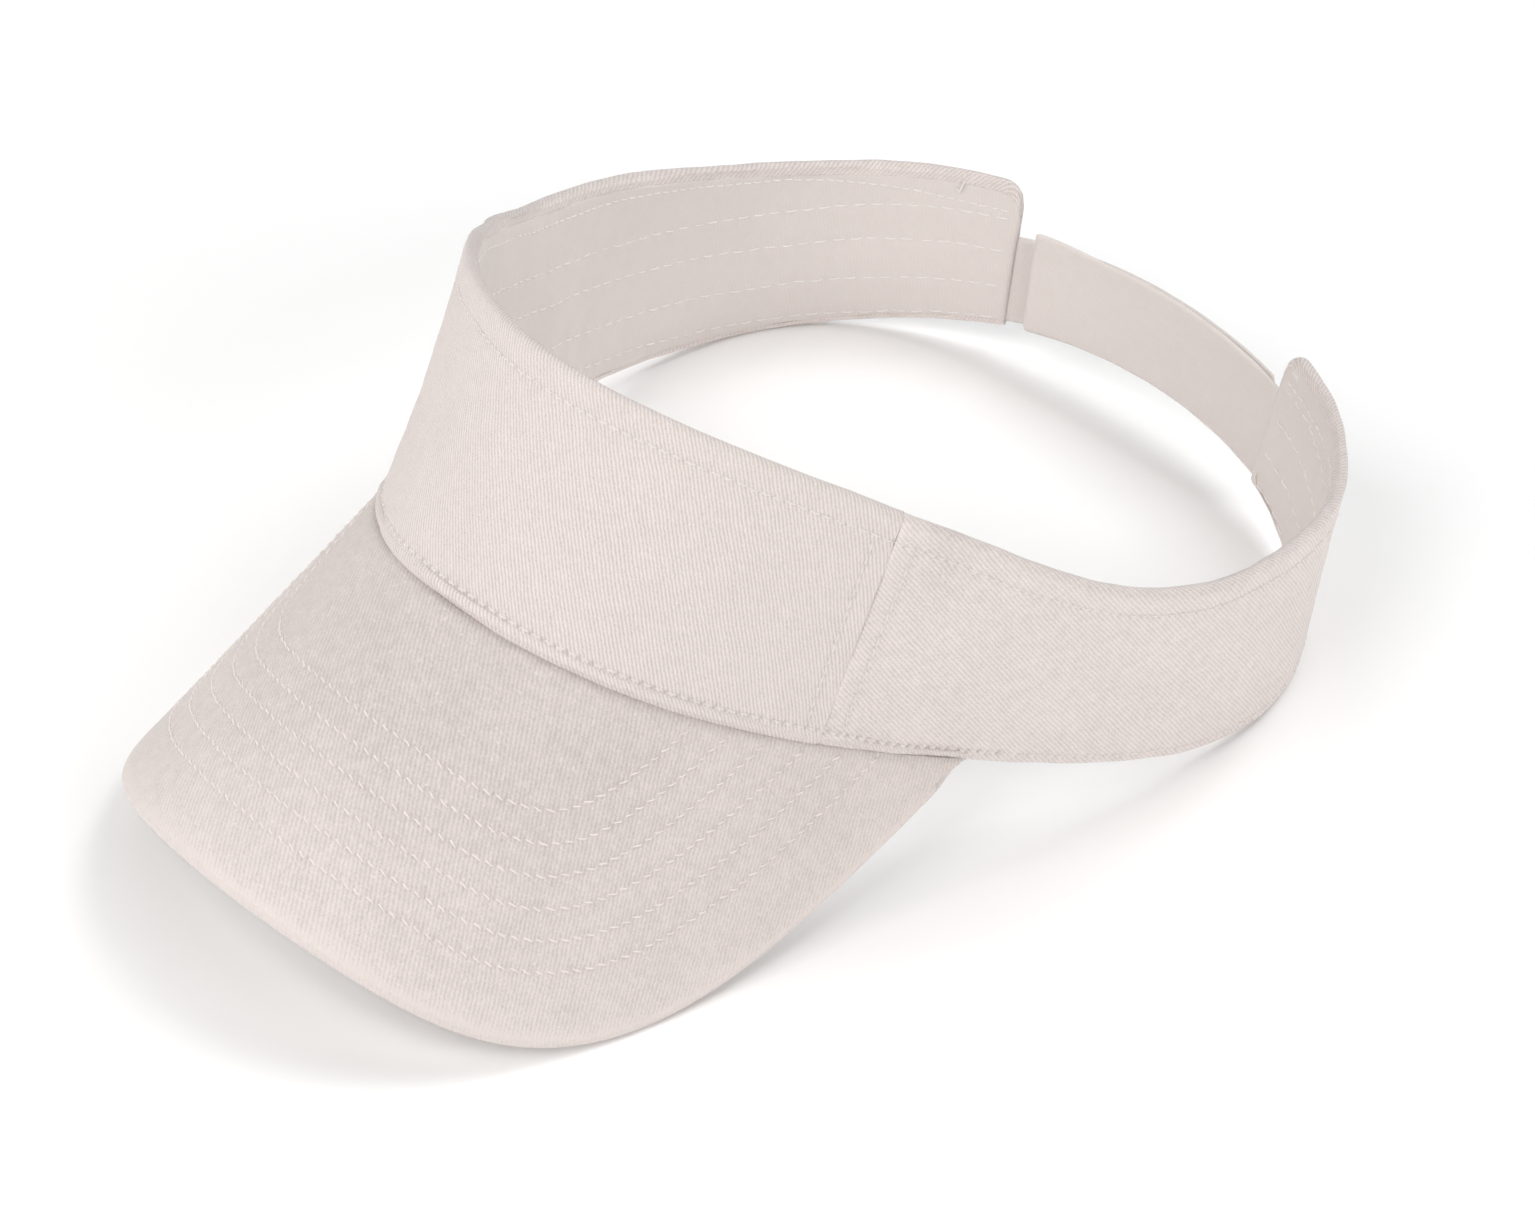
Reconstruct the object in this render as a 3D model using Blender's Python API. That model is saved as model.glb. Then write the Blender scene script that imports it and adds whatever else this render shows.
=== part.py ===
"""A fabric sun visor: a sewn head band, a pre-curved bill and a two-strap closure at the back.

Metres, +Z up. The bill points along -Y and the wearer's left is +X. The visor rests on the sides
of its bill and on the bottom of its band, with the origin at the bottom centre of its box.

The band is a ruled surface between two closed curves, its bottom edge and its rim. An angle goes
round them from the front centre, 0, over the wearer's left, 90 degrees, to the back centre, 180.
A place on the band is an angle, a height above the bottom edge, and an offset outward from the
middle of the band's thickness.
"""

import math

import bmesh
import bpy
import numpy as np

MM = 0.001

# Driving dimensions, in millimetres. Each edge of the band passes through one (half width, y, z)
# for every 30 degrees, from the front centre to the back centre.
BOTTOM_STATIONS = (
    (0, -76, 57.5),
    (36, -59, 48),
    (57.5, -19, 29.5),
    (73, 28.5, 10.7),
    (76.5, 77, 0.3),
    (50, 114.5, 4.2),
    (0, 128.5, 11),
)
RIM_STATIONS = (
    (0, -53.5, 101),
    (47, -28.5, 88.5),
    (74, 12, 64),
    (81.5, 43.5, 53),
    (75, 83.5, 43.5),
    (48, 119, 41.5),
    (0, 129.5, 42.5),
)
# The cut of the panels leans: an angle at the bottom edge meets a smaller one at the rim.
LEAN_DEG = 13.6
LEAN_FRONT_SHARE = 0.6

# The free edge of the bill, from the front centre to the corner on the wearer's left.
BILL_EDGE_STATIONS = (
    (0, -129.5, 24.6),
    (27, -123.5, 19),
    (47.5, -106.5, 6.6),
    (58.5, -79, 1.3),
    (62, -44.5, 7.7),
    (63, -7, 22.5),
)
BILL_CORNER_DEG = 70.9
PANEL_SEAM_DEG = 50.1
BAND_END_DEG = 160.3

# Layers of the band
BAND_HALF = 1.25
CLOTH = 0.7
INTERLINING = 0.6
RIM_TURN_IN = 2.6
BOTTOM_TURN_IN = 1.6
GAP = 0.3
SEAM_GAP_DEG = 0.12

# Layers of the bill
BOARD = 1.4
COVER = 0.6
BOARD_MARGIN = 3.2
EDGE_ROLL_RADIUS = 1.3
WELT_RADIUS = 0.9
WELT_HEIGHT = 1.6
BILL_ROWS = 6
BILL_FIRST_ROW = 11.5
BILL_ROW_PITCH = 5.3
# The rows drift inward on their way to the bill's corners: the first one by this much, and each
# following one by a step more. The drift lies between two shares of the way out to the corner,
# and starts a little earlier for each following row.
BILL_ROW_DRIFT = 2.6
BILL_ROW_DRIFT_STEP = 0.9
BILL_DRIFT_START = 0.32
BILL_DRIFT_END = 0.70
BILL_DRIFT_EARLIER = 0.025
THREAD_RADIUS = 0.3
# Where the sheets and the rows of stitching begin, as shares of the way from seam to free edge
BILL_SEAM_SHARE = 0.015
BILL_ROW_SEAM_SHARE = 0.06
# The edge roll stops just short of the bill's corners, as a share of the way out to them
EDGE_ROLL_REACH = 0.97

# Topstitching on the band, as heights above the bottom edge or below the rim
RIM_STITCH_DROP = 5.6
BILL_SEAM_STITCH = 3.7
SIDE_BOTTOM_STITCH = 2.6
SEAM_STITCH_SIDE = 4.0
SEAM_STITCH_CLEARANCE = 2.0
ROW_END_DEG = 1.5
SWEATBAND_ROW_SHARES = (0.085, 0.285, 0.515, 0.70)

# Closure
STRAP_LOW = 1.25
INNER_STRAP_HEIGHT = 22.0
OUTER_STRAP_HEIGHT = 20.5
STRAP = 1.0
TAPE = 0.5
TAPE_GAP = 0.25
STRAP_PITCH = STRAP + 2 * TAPE + 3 * TAPE_GAP
TAPE_HEIGHT = 18.0
STRAP_ROOT_GAP = 1.0
STRAP_END_GAP = 5.0
# The straps hang a little inside the line of the band, and the inner one is cut up to a point
STRAP_SAG = 1.5
INNER_POINT_RISE = 2.0
INNER_POINT_LENGTH = 17.0
TAPE_END_MARGIN = 5.0
CLOSURE_FLAT_DEG = 6.7

# How finely the shapes are cut
BAND_STEP_DEG = 5.0
STRAP_STEP_DEG = 4.0
WALL_CELLS = 4
BILL_STEPS = 30
BILL_RINGS = 4
BILL_ROW_POINTS = 45
SEAM_ROW_POINTS = 10

COLOURS = {
    "front_twill": ((0.72, 0.67, 0.63), 0.95, 0.0),
    "side_twill": ((0.70, 0.62, 0.58), 0.95, 0.0),
    "bill_twill": ((0.68, 0.60, 0.57), 0.95, 0.0),
    "lining_twill": ((0.64, 0.57, 0.53), 0.95, 0.0),
    "interlining": ((0.80, 0.79, 0.75), 0.9, 0.0),
    "board_plastic": ((0.85, 0.85, 0.83), 0.5, 0.0),
    "thread": ((0.78, 0.75, 0.72), 0.7, 0.0),
    "strap_twill": ((0.66, 0.59, 0.55), 0.95, 0.0),
    "hook_nylon": ((0.75, 0.73, 0.70), 0.6, 0.0),
    "loop_nylon": ((0.78, 0.75, 0.72), 0.9, 0.0),
}


def clear_scene():
    for obj in list(bpy.data.objects):
        bpy.data.objects.remove(obj, do_unlink=True)


def material(name):
    made = bpy.data.materials.get(name)
    if made:
        return made
    colour, roughness, metallic = COLOURS[name]
    made = bpy.data.materials.new(name)
    made.use_nodes = True
    shader = made.node_tree.nodes["Principled BSDF"]
    shader.inputs["Base Color"].default_value = (*colour, 1.0)
    shader.inputs["Roughness"].default_value = roughness
    shader.inputs["Metallic"].default_value = metallic
    return made


# Curves


def unit(vectors):
    return vectors / np.linalg.norm(vectors, axis=-1, keepdims=True)


class ClosedCurve:
    """The smoothest closed curve through the stations, the same on both sides of the head."""

    def __init__(self, stations):
        stations = np.array(stations, float)
        last = len(stations) - 1
        waves = np.arange(last + 1)
        angles = np.pi * np.outer(waves, waves) / last
        weights = np.where((waves == 0) | (waves == last), 0.5, 1.0)
        self.waves = waves
        self.sines = 2 / last * np.sin(angles) @ stations[:, 0]
        self.cosines = (2 / last * np.cos(angles) * weights * weights[:, None]) @ stations[:, 1:]

    def __call__(self, degrees):
        phase = np.multiply.outer(np.radians(degrees), self.waves)
        across = (np.sin(phase) @ self.sines)[..., None]
        return np.concatenate([across, np.cos(phase) @ self.cosines], axis=-1)


def spline_through(points):
    """A natural cubic spline through evenly spaced points, as a function of a position 0 to 1."""
    points = np.array(points, float)
    count = len(points)
    system = np.eye(count)
    bends = np.zeros_like(points)
    for i in range(1, count - 1):
        system[i, i - 1 : i + 2] = (1, 4, 1)
        bends[i] = 6 * (points[i + 1] - 2 * points[i] + points[i - 1])
    bends = np.linalg.solve(system, bends)

    def at(position):
        place = np.clip(np.asarray(position, float), 0, 1) * (count - 1)
        i = np.minimum(place.astype(int), count - 2)
        after = (place - i)[..., None]
        before = 1 - after
        straight = before * points[i] + after * points[i + 1]
        sag = (before**3 - before) * bends[i] + (after**3 - after) * bends[i + 1]
        return straight + sag / 6

    return at


BOTTOM_EDGE = ClosedCurve(BOTTOM_STATIONS)
RIM = ClosedCurve(RIM_STATIONS)
MIRRORED = [(-x, y, z) for x, y, z in reversed(BILL_EDGE_STATIONS[1:])]
BILL_EDGE = spline_through(MIRRORED + list(BILL_EDGE_STATIONS))


# The band


def leaned(degrees):
    angle = np.radians(degrees)
    return degrees - LEAN_DEG * np.sin(angle) * (1 + LEAN_FRONT_SHARE * np.cos(angle))


def band_lines(degrees):
    """The bottom point, the unit direction up the band and its height, at each angle."""
    bottom = BOTTOM_EDGE(degrees)
    rise = RIM(leaned(degrees)) - bottom
    height = np.linalg.norm(rise, axis=-1)
    return bottom, unit(rise), height


def band_place(degrees, height, offset):
    """Points on the band, or beside it where the offset isn't 0."""
    degrees = np.asarray(degrees, float)
    half_step = 0.05
    bottom, rise, _ = band_lines(degrees)
    height = np.asarray(height, float)[..., None]

    def on_band(at):
        edge, up, _ = band_lines(at)
        return edge + up * height

    along = on_band(degrees + half_step) - on_band(degrees - half_step)
    outward = unit(np.cross(along, rise))
    return bottom + rise * height + outward * np.asarray(offset, float)[..., None]


def band_height(degrees):
    return band_lines(np.asarray(degrees, float))[2]


def angles_between(first, last, step=BAND_STEP_DEG):
    """Both ends and the whole steps between them, so that every layer has its facets in line."""
    inside = np.arange(math.ceil(first / step), math.floor(last / step) + 1) * step
    inside = inside[(inside > first + 0.2 * step) & (inside < last - 0.2 * step)]
    return np.concatenate([[first], inside, [last]])


# Solids


def new_object(name, bm, material_name, origin=(0, 0, 0)):
    """Links the mesh as an object whose own origin is at the given point, in millimetres."""
    bmesh.ops.recalc_face_normals(bm, faces=bm.faces)
    bmesh.ops.scale(bm, vec=(MM, MM, MM), verts=bm.verts)
    origin = np.array(origin, float) * MM
    bmesh.ops.translate(bm, vec=tuple(-origin), verts=bm.verts)
    mesh = bpy.data.meshes.new(name)
    bm.to_mesh(mesh)
    bm.free()
    mesh.shade_smooth()
    mesh.set_sharp_from_angle(angle=math.radians(40))
    mesh.materials.append(material(material_name))
    obj = bpy.data.objects.new(name, mesh)
    obj.location = tuple(origin)
    bpy.context.scene.collection.objects.link(obj)
    return obj


def loft(name, sections, material_name, origin=(0, 0, 0)):
    """One closed body through closed sections, each the same number of points."""
    bm = bmesh.new()
    rings = [[bm.verts.new(point) for point in section] for section in sections]
    around = len(rings[0])
    for ring, following in zip(rings, rings[1:]):
        for i in range(around):
            j = (i + 1) % around
            bm.faces.new((ring[i], ring[j], following[j], following[i]))
    bm.faces.new(rings[0])
    bm.faces.new(reversed(rings[-1]))
    return new_object(name, bm, material_name, origin)


def band_layer(name, angles, section, material_name, origin=(0, 0, 0)):
    """A layer of the band. section(angle) lists its outline as (height, offset) pairs."""
    sections = []
    for angle in angles:
        outline = np.array(section(angle), float)
        sections.append(band_place(np.full(len(outline), angle), outline[:, 0], outline[:, 1]))
    return loft(name, sections, material_name, origin)


def upward(low, high):
    """Heights from low to high, fine enough for a twisted wall to stay even."""
    return np.linspace(low, high, WALL_CELLS + 1)


def rectangle(low, high, inner, outer):
    heights = upward(low, high)
    return [(h, inner) for h in heights] + [(h, outer) for h in reversed(heights)]


def turned_in_section(angle):
    """The outline of a panel whose two long edges are folded to the inside."""
    inside = BAND_HALF - CLOTH
    height = float(band_height(angle))
    top, bottom = height - BAND_HALF, BAND_HALF
    fold = [math.radians(a) for a in (0, 45, 90, 135, 180)]
    tight_fold = [math.radians(a) for a in (0, 90, 180)]
    walls = list(upward(bottom, top))[1:-1]
    outline = [(h, BAND_HALF) for h in walls]
    outline += [(top + BAND_HALF * math.sin(a), BAND_HALF * math.cos(a)) for a in fold]
    outline += [(height - RIM_TURN_IN, -BAND_HALF), (height - RIM_TURN_IN, -inside)]
    outline += [(top + inside * math.sin(a), inside * math.cos(a)) for a in reversed(tight_fold)]
    outline += [(h, inside) for h in reversed(walls)]
    outline += [(bottom - inside * math.sin(a), inside * math.cos(a)) for a in tight_fold]
    outline += [(BOTTOM_TURN_IN, -inside), (BOTTOM_TURN_IN, -BAND_HALF)]
    outline += [(bottom - BAND_HALF * math.sin(a), BAND_HALF * math.cos(a)) for a in reversed(fold)]
    return outline


def make_panels():
    seam, end = PANEL_SEAM_DEG, BAND_END_DEG
    front = angles_between(-seam + SEAM_GAP_DEG, seam - SEAM_GAP_DEG)
    side = angles_between(seam + SEAM_GAP_DEG, end)
    band_layer("front_panel", front, turned_in_section, "front_twill")
    band_layer("left_side_panel", side, turned_in_section, "side_twill")
    band_layer("right_side_panel", -side, turned_in_section, "side_twill")


def make_interlinings():
    half = INTERLINING / 2
    clearance = BAND_HALF + GAP

    def section(angle):
        return rectangle(clearance, float(band_height(angle)) - clearance, -half, half)

    at_seam, at_band_end = 1.0, 2.0
    front = angles_between(-PANEL_SEAM_DEG + at_seam, PANEL_SEAM_DEG - at_seam)
    side = angles_between(PANEL_SEAM_DEG + at_seam, BAND_END_DEG - at_band_end)
    band_layer("front_buckram", front, section, "interlining")
    band_layer("left_side_interlining", side, section, "interlining")
    band_layer("right_side_interlining", -side, section, "interlining")


def make_sweatband():
    def section(angle):
        high = float(band_height(angle)) - RIM_TURN_IN - GAP
        return rectangle(BOTTOM_TURN_IN + GAP, high, -BAND_HALF, CLOTH - BAND_HALF)

    angles = angles_between(-BAND_END_DEG, BAND_END_DEG)
    band_layer("sweatband", angles, section, "lining_twill")


def tube(name, path, radius, material_name, sides=3):
    """A thread or a roll: a closed tube round an open path."""
    path = np.array(path, float)
    no_path_runs_this_way = (0.13, 0.21, 0.97)
    along = unit(np.gradient(path, axis=0))
    across = unit(np.cross(along, no_path_runs_this_way))
    up = np.cross(across, along)
    turns = (2 * np.arange(sides) + 1) * np.pi / sides
    ring = np.cos(turns)[:, None, None] * across + np.sin(turns)[:, None, None] * up
    sections = np.swapaxes(path + radius * ring, 0, 1)
    return loft(name, sections, material_name)


def make_band_stitches():
    lift = BAND_HALF + GAP + THREAD_RADIUS
    side_names = (("left", 1), ("right", -1))
    end = BAND_END_DEG - ROW_END_DEG
    around = angles_between(-end, end)
    rim_row = band_place(around, band_height(around) - RIM_STITCH_DROP, np.full(len(around), lift))
    tube("rim_topstitch", rim_row, THREAD_RADIUS, "thread")
    front = angles_between(-BILL_CORNER_DEG, BILL_CORNER_DEG)
    row = band_place(front, np.full(len(front), BILL_SEAM_STITCH), np.full(len(front), lift))
    tube("bill_seam_topstitch", row, THREAD_RADIUS, "thread")
    for side, sign in side_names:
        angles = angles_between(BILL_CORNER_DEG + ROW_END_DEG, end)
        heights = np.full(len(angles), SIDE_BOTTOM_STITCH)
        row = band_place(sign * angles, heights, np.full(len(angles), lift))
        tube(side + "_bottom_topstitch", row, THREAD_RADIUS, "thread")
        for edge, step in (("front", -1), ("side", 1)):
            seam_stitch(f"{side}_seam_topstitch_{edge}", sign, step, lift)
    for i, share in enumerate(SWEATBAND_ROW_SHARES, 1):
        row = band_place(around, share * band_height(around), np.full(len(around), -lift))
        tube(f"sweatband_stitch_row_{i}", row, THREAD_RADIUS, "thread")


def seam_stitch(name, sign, step, lift):
    """One of the two rows beside a panel seam."""
    width_per_degree = np.linalg.norm(BOTTOM_EDGE(PANEL_SEAM_DEG + 1) - BOTTOM_EDGE(PANEL_SEAM_DEG))
    angle = sign * (PANEL_SEAM_DEG + step * SEAM_STITCH_SIDE / width_per_degree)
    low = BILL_SEAM_STITCH + SEAM_STITCH_CLEARANCE
    high = float(band_height(angle)) - RIM_STITCH_DROP - SEAM_STITCH_CLEARANCE
    heights = np.linspace(low, high, SEAM_ROW_POINTS)
    row = band_place(np.full(SEAM_ROW_POINTS, angle), heights, np.full(SEAM_ROW_POINTS, lift))
    tube(name, row, THREAD_RADIUS, "thread")


# The bill


def bill_seam(across):
    return BOTTOM_EDGE(BILL_CORNER_DEG * across)


def bill_edge(across):
    return BILL_EDGE((np.asarray(across) + 1) / 2)


def bill_place(across, down, lift=0.0):
    """A point of the bill: across -1 to 1, down 0 at the seam to 1 at the free edge."""
    across = np.asarray(across, float)
    down = np.asarray(down, float)[..., None]
    step = 1e-3

    def on_bill(at):
        return bill_seam(at) * (1 - down) + bill_edge(at) * down

    low, high = np.clip(across - step, -1, 1), np.clip(across + step, -1, 1)
    along = on_bill(high) - on_bill(low)
    outward = bill_edge(across) - bill_seam(across)
    normal = unit(np.cross(outward, along))
    return on_bill(across) + normal * lift


def edge_distance(across, down):
    edge = bill_edge(np.linspace(-1, 1, 401))
    return np.linalg.norm(edge - bill_place(across, down), axis=1).min()


def last_true(passes, low, high):
    """The highest value between low and high up to which passes(value) holds."""
    for _ in range(30):
        middle = (low + high) / 2
        low, high = (middle, high) if passes(middle) else (low, middle)
    return low


def inset_from_edge(across, inset, seam_margin):
    """How far down the bill a line runs whose inset from the free edge is inset(across)."""
    def stop(at):
        return last_true(lambda share: edge_distance(at, share) > inset(at), seam_margin, 1.0)

    return np.array([stop(at) for at in across])


def bill_reach(inset, seam_margin):
    """The across at which a line with this inset from the free edge meets the seam."""
    return last_true(lambda at: edge_distance(at, seam_margin) > inset(at), 0.0, 1.0)


def even(inset):
    return lambda across: inset


def finer_outward(reach, turn, count):
    """Places across the bill, closer together towards the sides. turn is pi / 2 at the most."""
    return reach * np.sin(np.linspace(-turn, turn, count)) / math.sin(turn)


def bill_layer(name, outer_margin, low, high, material_name):
    """A sheet of the bill between two lifts, set back from the seam and from the free edge."""
    blunt_corner = 1.0
    reach = bill_reach(even(outer_margin + blunt_corner), BILL_SEAM_SHARE)
    across = finer_outward(reach, 1.35, BILL_STEPS + 1)
    stop = inset_from_edge(across, even(outer_margin), BILL_SEAM_SHARE)
    shares = np.linspace(0, 1, BILL_RINGS + 1)
    down = BILL_SEAM_SHARE + np.multiply.outer(shares, stop - BILL_SEAM_SHARE)
    upper = bill_place(np.broadcast_to(across, down.shape), down, high)
    lower = bill_place(np.broadcast_to(across, down.shape), down, low)
    sections = np.concatenate([upper, lower[::-1]])
    return loft(name, np.swapaxes(sections, 0, 1), material_name)


def make_bill():
    half = BOARD / 2
    low, high = half + GAP, half + GAP + COVER
    cover_margin = EDGE_ROLL_RADIUS + GAP
    bill_layer("bill_board", BOARD_MARGIN, -half, half, "board_plastic")
    bill_layer("bill_top_cover", cover_margin, low, high, "bill_twill")
    bill_layer("bill_under_cover", cover_margin, -high, -low, "bill_twill")
    across = np.linspace(-EDGE_ROLL_REACH, EDGE_ROLL_REACH, 2 * BILL_STEPS + 1)
    tube("bill_edge_roll", bill_edge(across), EDGE_ROLL_RADIUS, "bill_twill", sides=8)


def make_bill_seam_welt():
    angles = angles_between(-BILL_CORNER_DEG, BILL_CORNER_DEG)
    outward = BAND_HALF + GAP + WELT_RADIUS
    heights = np.full(len(angles), WELT_HEIGHT)
    centres = band_place(angles, heights, np.full(len(angles), outward))
    tube("bill_seam_welt", centres, WELT_RADIUS, "front_twill", sides=6)


def row_inset(row):
    """The inset of a row of stitching from the free edge, as a function of the place across."""
    start, end = BILL_DRIFT_START - BILL_DRIFT_EARLIER * row, BILL_DRIFT_END - BILL_DRIFT_EARLIER * row
    drift = BILL_ROW_DRIFT + BILL_ROW_DRIFT_STEP * row

    def inset(across):
        share = min(max((abs(across) - start) / (end - start), 0.0), 1.0)
        return BILL_FIRST_ROW + BILL_ROW_PITCH * row + drift * share * share * (3 - 2 * share)

    return inset


def make_bill_stitches():
    """Rows that follow the free edge, a little further in at the sides, and run into the bill seam."""
    lift = BOARD / 2 + GAP + COVER + GAP + THREAD_RADIUS
    for row in range(BILL_ROWS):
        inset = row_inset(row)
        reach = bill_reach(inset, BILL_ROW_SEAM_SHARE)
        across = finer_outward(reach, math.pi / 2, BILL_ROW_POINTS)
        down = inset_from_edge(across, inset, BILL_ROW_SEAM_SHARE)
        path = bill_place(across, down, lift)
        tube(f"bill_stitch_row_{row + 1}", path, THREAD_RADIUS, "thread")


# The closure


def strap_angles(first, last):
    """Angles from the wearer's left, through the back, to the right, with a flat at the middle."""
    left = angles_between(first, 180 - CLOSURE_FLAT_DEG, STRAP_STEP_DEG)
    right = angles_between(180 + CLOSURE_FLAT_DEG, last, STRAP_STEP_DEG)
    return np.concatenate([left, right])


def strap_layer(name, ends, side, faces, height_at, material_name, hinge):
    """A strap, or a tape on it, between two angles and two offsets from the strap's own middle.
    side is 1 for the outer strap, which leaves the band on the wearer's right, and -1 for the
    inner one, which leaves it on the left. height_at(angle) is its lower and upper edge."""
    inner, outer = faces
    span = 360 - 2 * BAND_END_DEG

    def section(angle):
        crossed = (angle - BAND_END_DEG) / span
        shift = STRAP_PITCH * (1 - crossed if side > 0 else -crossed)
        shift -= STRAP_SAG * math.sin(math.pi * crossed)
        return rectangle(*height_at(angle), shift + inner, shift + outer)

    band_layer(name, strap_angles(*ends), section, material_name, hinge)


def degrees_along(millimetres):
    """The angle that a length takes up on the bottom edge by the band's ends."""
    step = np.linalg.norm(BOTTOM_EDGE(BAND_END_DEG + 1) - BOTTOM_EDGE(BAND_END_DEG))
    return millimetres / step


def make_closure():
    root = degrees_along(STRAP_ROOT_GAP)
    free_end = degrees_along(STRAP_END_GAP)
    margin = degrees_along(TAPE_END_MARGIN)
    left, right = BAND_END_DEG, 360 - BAND_END_DEG
    half = STRAP / 2
    face = half + TAPE_GAP
    strap_faces = (-half, half)
    left_hinge = band_place(left + root, 0.0, 0.0)
    right_hinge = band_place(right - root, 0.0, 0.0)
    inner_ends = (left + root, right - free_end)
    outer_ends = (left + free_end, right - root)
    tape_ends = (left + margin, right - margin)
    hook_faces = (face, face + TAPE)
    loop_faces = (-face - TAPE, -face)
    point_start = right - free_end - degrees_along(INNER_POINT_LENGTH)

    def inner_height(angle):
        along = max(0.0, angle - point_start) / (right - free_end - point_start)
        return STRAP_LOW, STRAP_LOW + INNER_STRAP_HEIGHT + INNER_POINT_RISE * along

    def outer_height(angle):
        return STRAP_LOW, STRAP_LOW + OUTER_STRAP_HEIGHT

    def tape_height(angle):
        low = STRAP_LOW + (OUTER_STRAP_HEIGHT - TAPE_HEIGHT) / 2
        return low, low + TAPE_HEIGHT

    strap_layer("inner_strap", inner_ends, -1, strap_faces, inner_height, "strap_twill", left_hinge)
    strap_layer("hook_tape", tape_ends, -1, hook_faces, tape_height, "hook_nylon", left_hinge)
    strap_layer("outer_strap", outer_ends, 1, strap_faces, outer_height, "strap_twill", right_hinge)
    strap_layer("loop_tape", tape_ends, 1, loop_faces, tape_height, "loop_nylon", right_hinge)


def main():
    clear_scene()
    make_panels()
    make_interlinings()
    make_sweatband()
    make_band_stitches()
    make_bill()
    make_bill_seam_welt()
    make_bill_stitches()
    make_closure()


main()
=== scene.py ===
import math

import bpy
import numpy as np
from mathutils import Matrix, Vector
from mathutils.bvhtree import BVHTree
from mathutils.kdtree import KDTree


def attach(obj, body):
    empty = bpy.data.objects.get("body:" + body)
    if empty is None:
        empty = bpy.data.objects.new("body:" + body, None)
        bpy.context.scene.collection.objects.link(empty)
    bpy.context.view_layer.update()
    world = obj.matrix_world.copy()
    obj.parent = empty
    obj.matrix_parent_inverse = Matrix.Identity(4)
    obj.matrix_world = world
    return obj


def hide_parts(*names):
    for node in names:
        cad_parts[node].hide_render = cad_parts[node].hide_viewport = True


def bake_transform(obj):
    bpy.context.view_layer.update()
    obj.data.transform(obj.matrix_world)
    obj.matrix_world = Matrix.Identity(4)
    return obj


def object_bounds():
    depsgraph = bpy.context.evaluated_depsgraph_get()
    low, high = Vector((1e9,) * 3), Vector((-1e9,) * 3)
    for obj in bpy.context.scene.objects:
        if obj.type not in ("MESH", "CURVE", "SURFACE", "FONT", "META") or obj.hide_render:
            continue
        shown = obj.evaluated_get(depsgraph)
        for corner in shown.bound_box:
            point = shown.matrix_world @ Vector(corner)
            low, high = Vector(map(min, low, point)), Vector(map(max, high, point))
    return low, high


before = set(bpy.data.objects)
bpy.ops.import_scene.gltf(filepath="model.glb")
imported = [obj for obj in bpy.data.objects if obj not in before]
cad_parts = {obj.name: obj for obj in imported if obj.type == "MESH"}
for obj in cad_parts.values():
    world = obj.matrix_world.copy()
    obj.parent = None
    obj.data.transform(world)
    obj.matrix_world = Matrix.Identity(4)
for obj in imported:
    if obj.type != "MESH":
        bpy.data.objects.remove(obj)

CAD_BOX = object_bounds()
MM = 0.001

# The camera looks down on the wearer's left front corner of the visor.
CAMERA_PLACE = (0.4228, -0.5113, 0.5638)
CAMERA_FORWARD = (-0.48553, 0.60094, -0.63492)
CAMERA_UP = (-0.49690, 0.40784, 0.76600)
CAMERA_LENS = 104.8
CAMERA_SENSOR = 36.0

# The shape, as in the CAD: half width, y and z in millimetres for every 30 degrees from the front
# centre to the back centre, along the band's bottom edge and along its rim.
BOTTOM_STATIONS = (
    (0, -76, 57.5), (36, -59, 48), (57.5, -19, 29.5), (73, 28.5, 10.7),
    (76.5, 77, 0.3), (50, 114.5, 4.2), (0, 128.5, 11),
)
RIM_STATIONS = (
    (0, -53.5, 101), (47, -28.5, 88.5), (74, 12, 64), (81.5, 43.5, 53),
    (75, 83.5, 43.5), (48, 119, 41.5), (0, 129.5, 42.5),
)
BILL_EDGE_STATIONS = (
    (0, -129.5, 24.6), (27, -123.5, 19), (47.5, -106.5, 6.6),
    (58.5, -79, 1.3), (62, -44.5, 7.7), (63, -7, 22.5),
)
LEAN_DEG = 13.6
LEAN_FRONT_SHARE = 0.6
BILL_CORNER_DEG = 70.9
PANEL_SEAM_DEG = 50.1
BAND_END_DEG = 160.3

# The band's cloth
BAND_HALF = 1.25 * MM
CLOTH = 0.7 * MM
RIM_TURN_IN = 2.6 * MM
BOTTOM_TURN_IN = 1.6 * MM
LINING_LAP = 0.35 * MM
LINING_PROUD = 0.12 * MM
CELL = 0.65 * MM

# Stitching: the step along a row, the half width of its groove and the radius of a needle hole
ROW_CELL = 0.25 * MM
GROOVE_WIDTH = 0.7 * MM
HOLE_RADIUS = 0.45 * MM
# A thread's sides and the rounds along a stitch, the share of it that lies in the cloth, and how
# high its middle arches, in thread radii
THREAD_SIDES = 7
THREAD_ROUNDS = 9
THREAD_SUNK = 0.35
THREAD_ARCH = 0.6

# The bill
COVER_LIFT = 1.5 * MM
COVER_CLOTH = 0.5 * MM
BILL_ROWS = 6
BILL_FIRST_ROW = 11.5 * MM
BILL_ROW_PITCH = 5.3 * MM
BILL_ROW_DRIFT = 2.6 * MM
BILL_ROW_DRIFT_STEP = 0.9 * MM
BILL_DRIFT_START = 0.32
BILL_DRIFT_END = 0.70
BILL_DRIFT_EARLIER = 0.025

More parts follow.
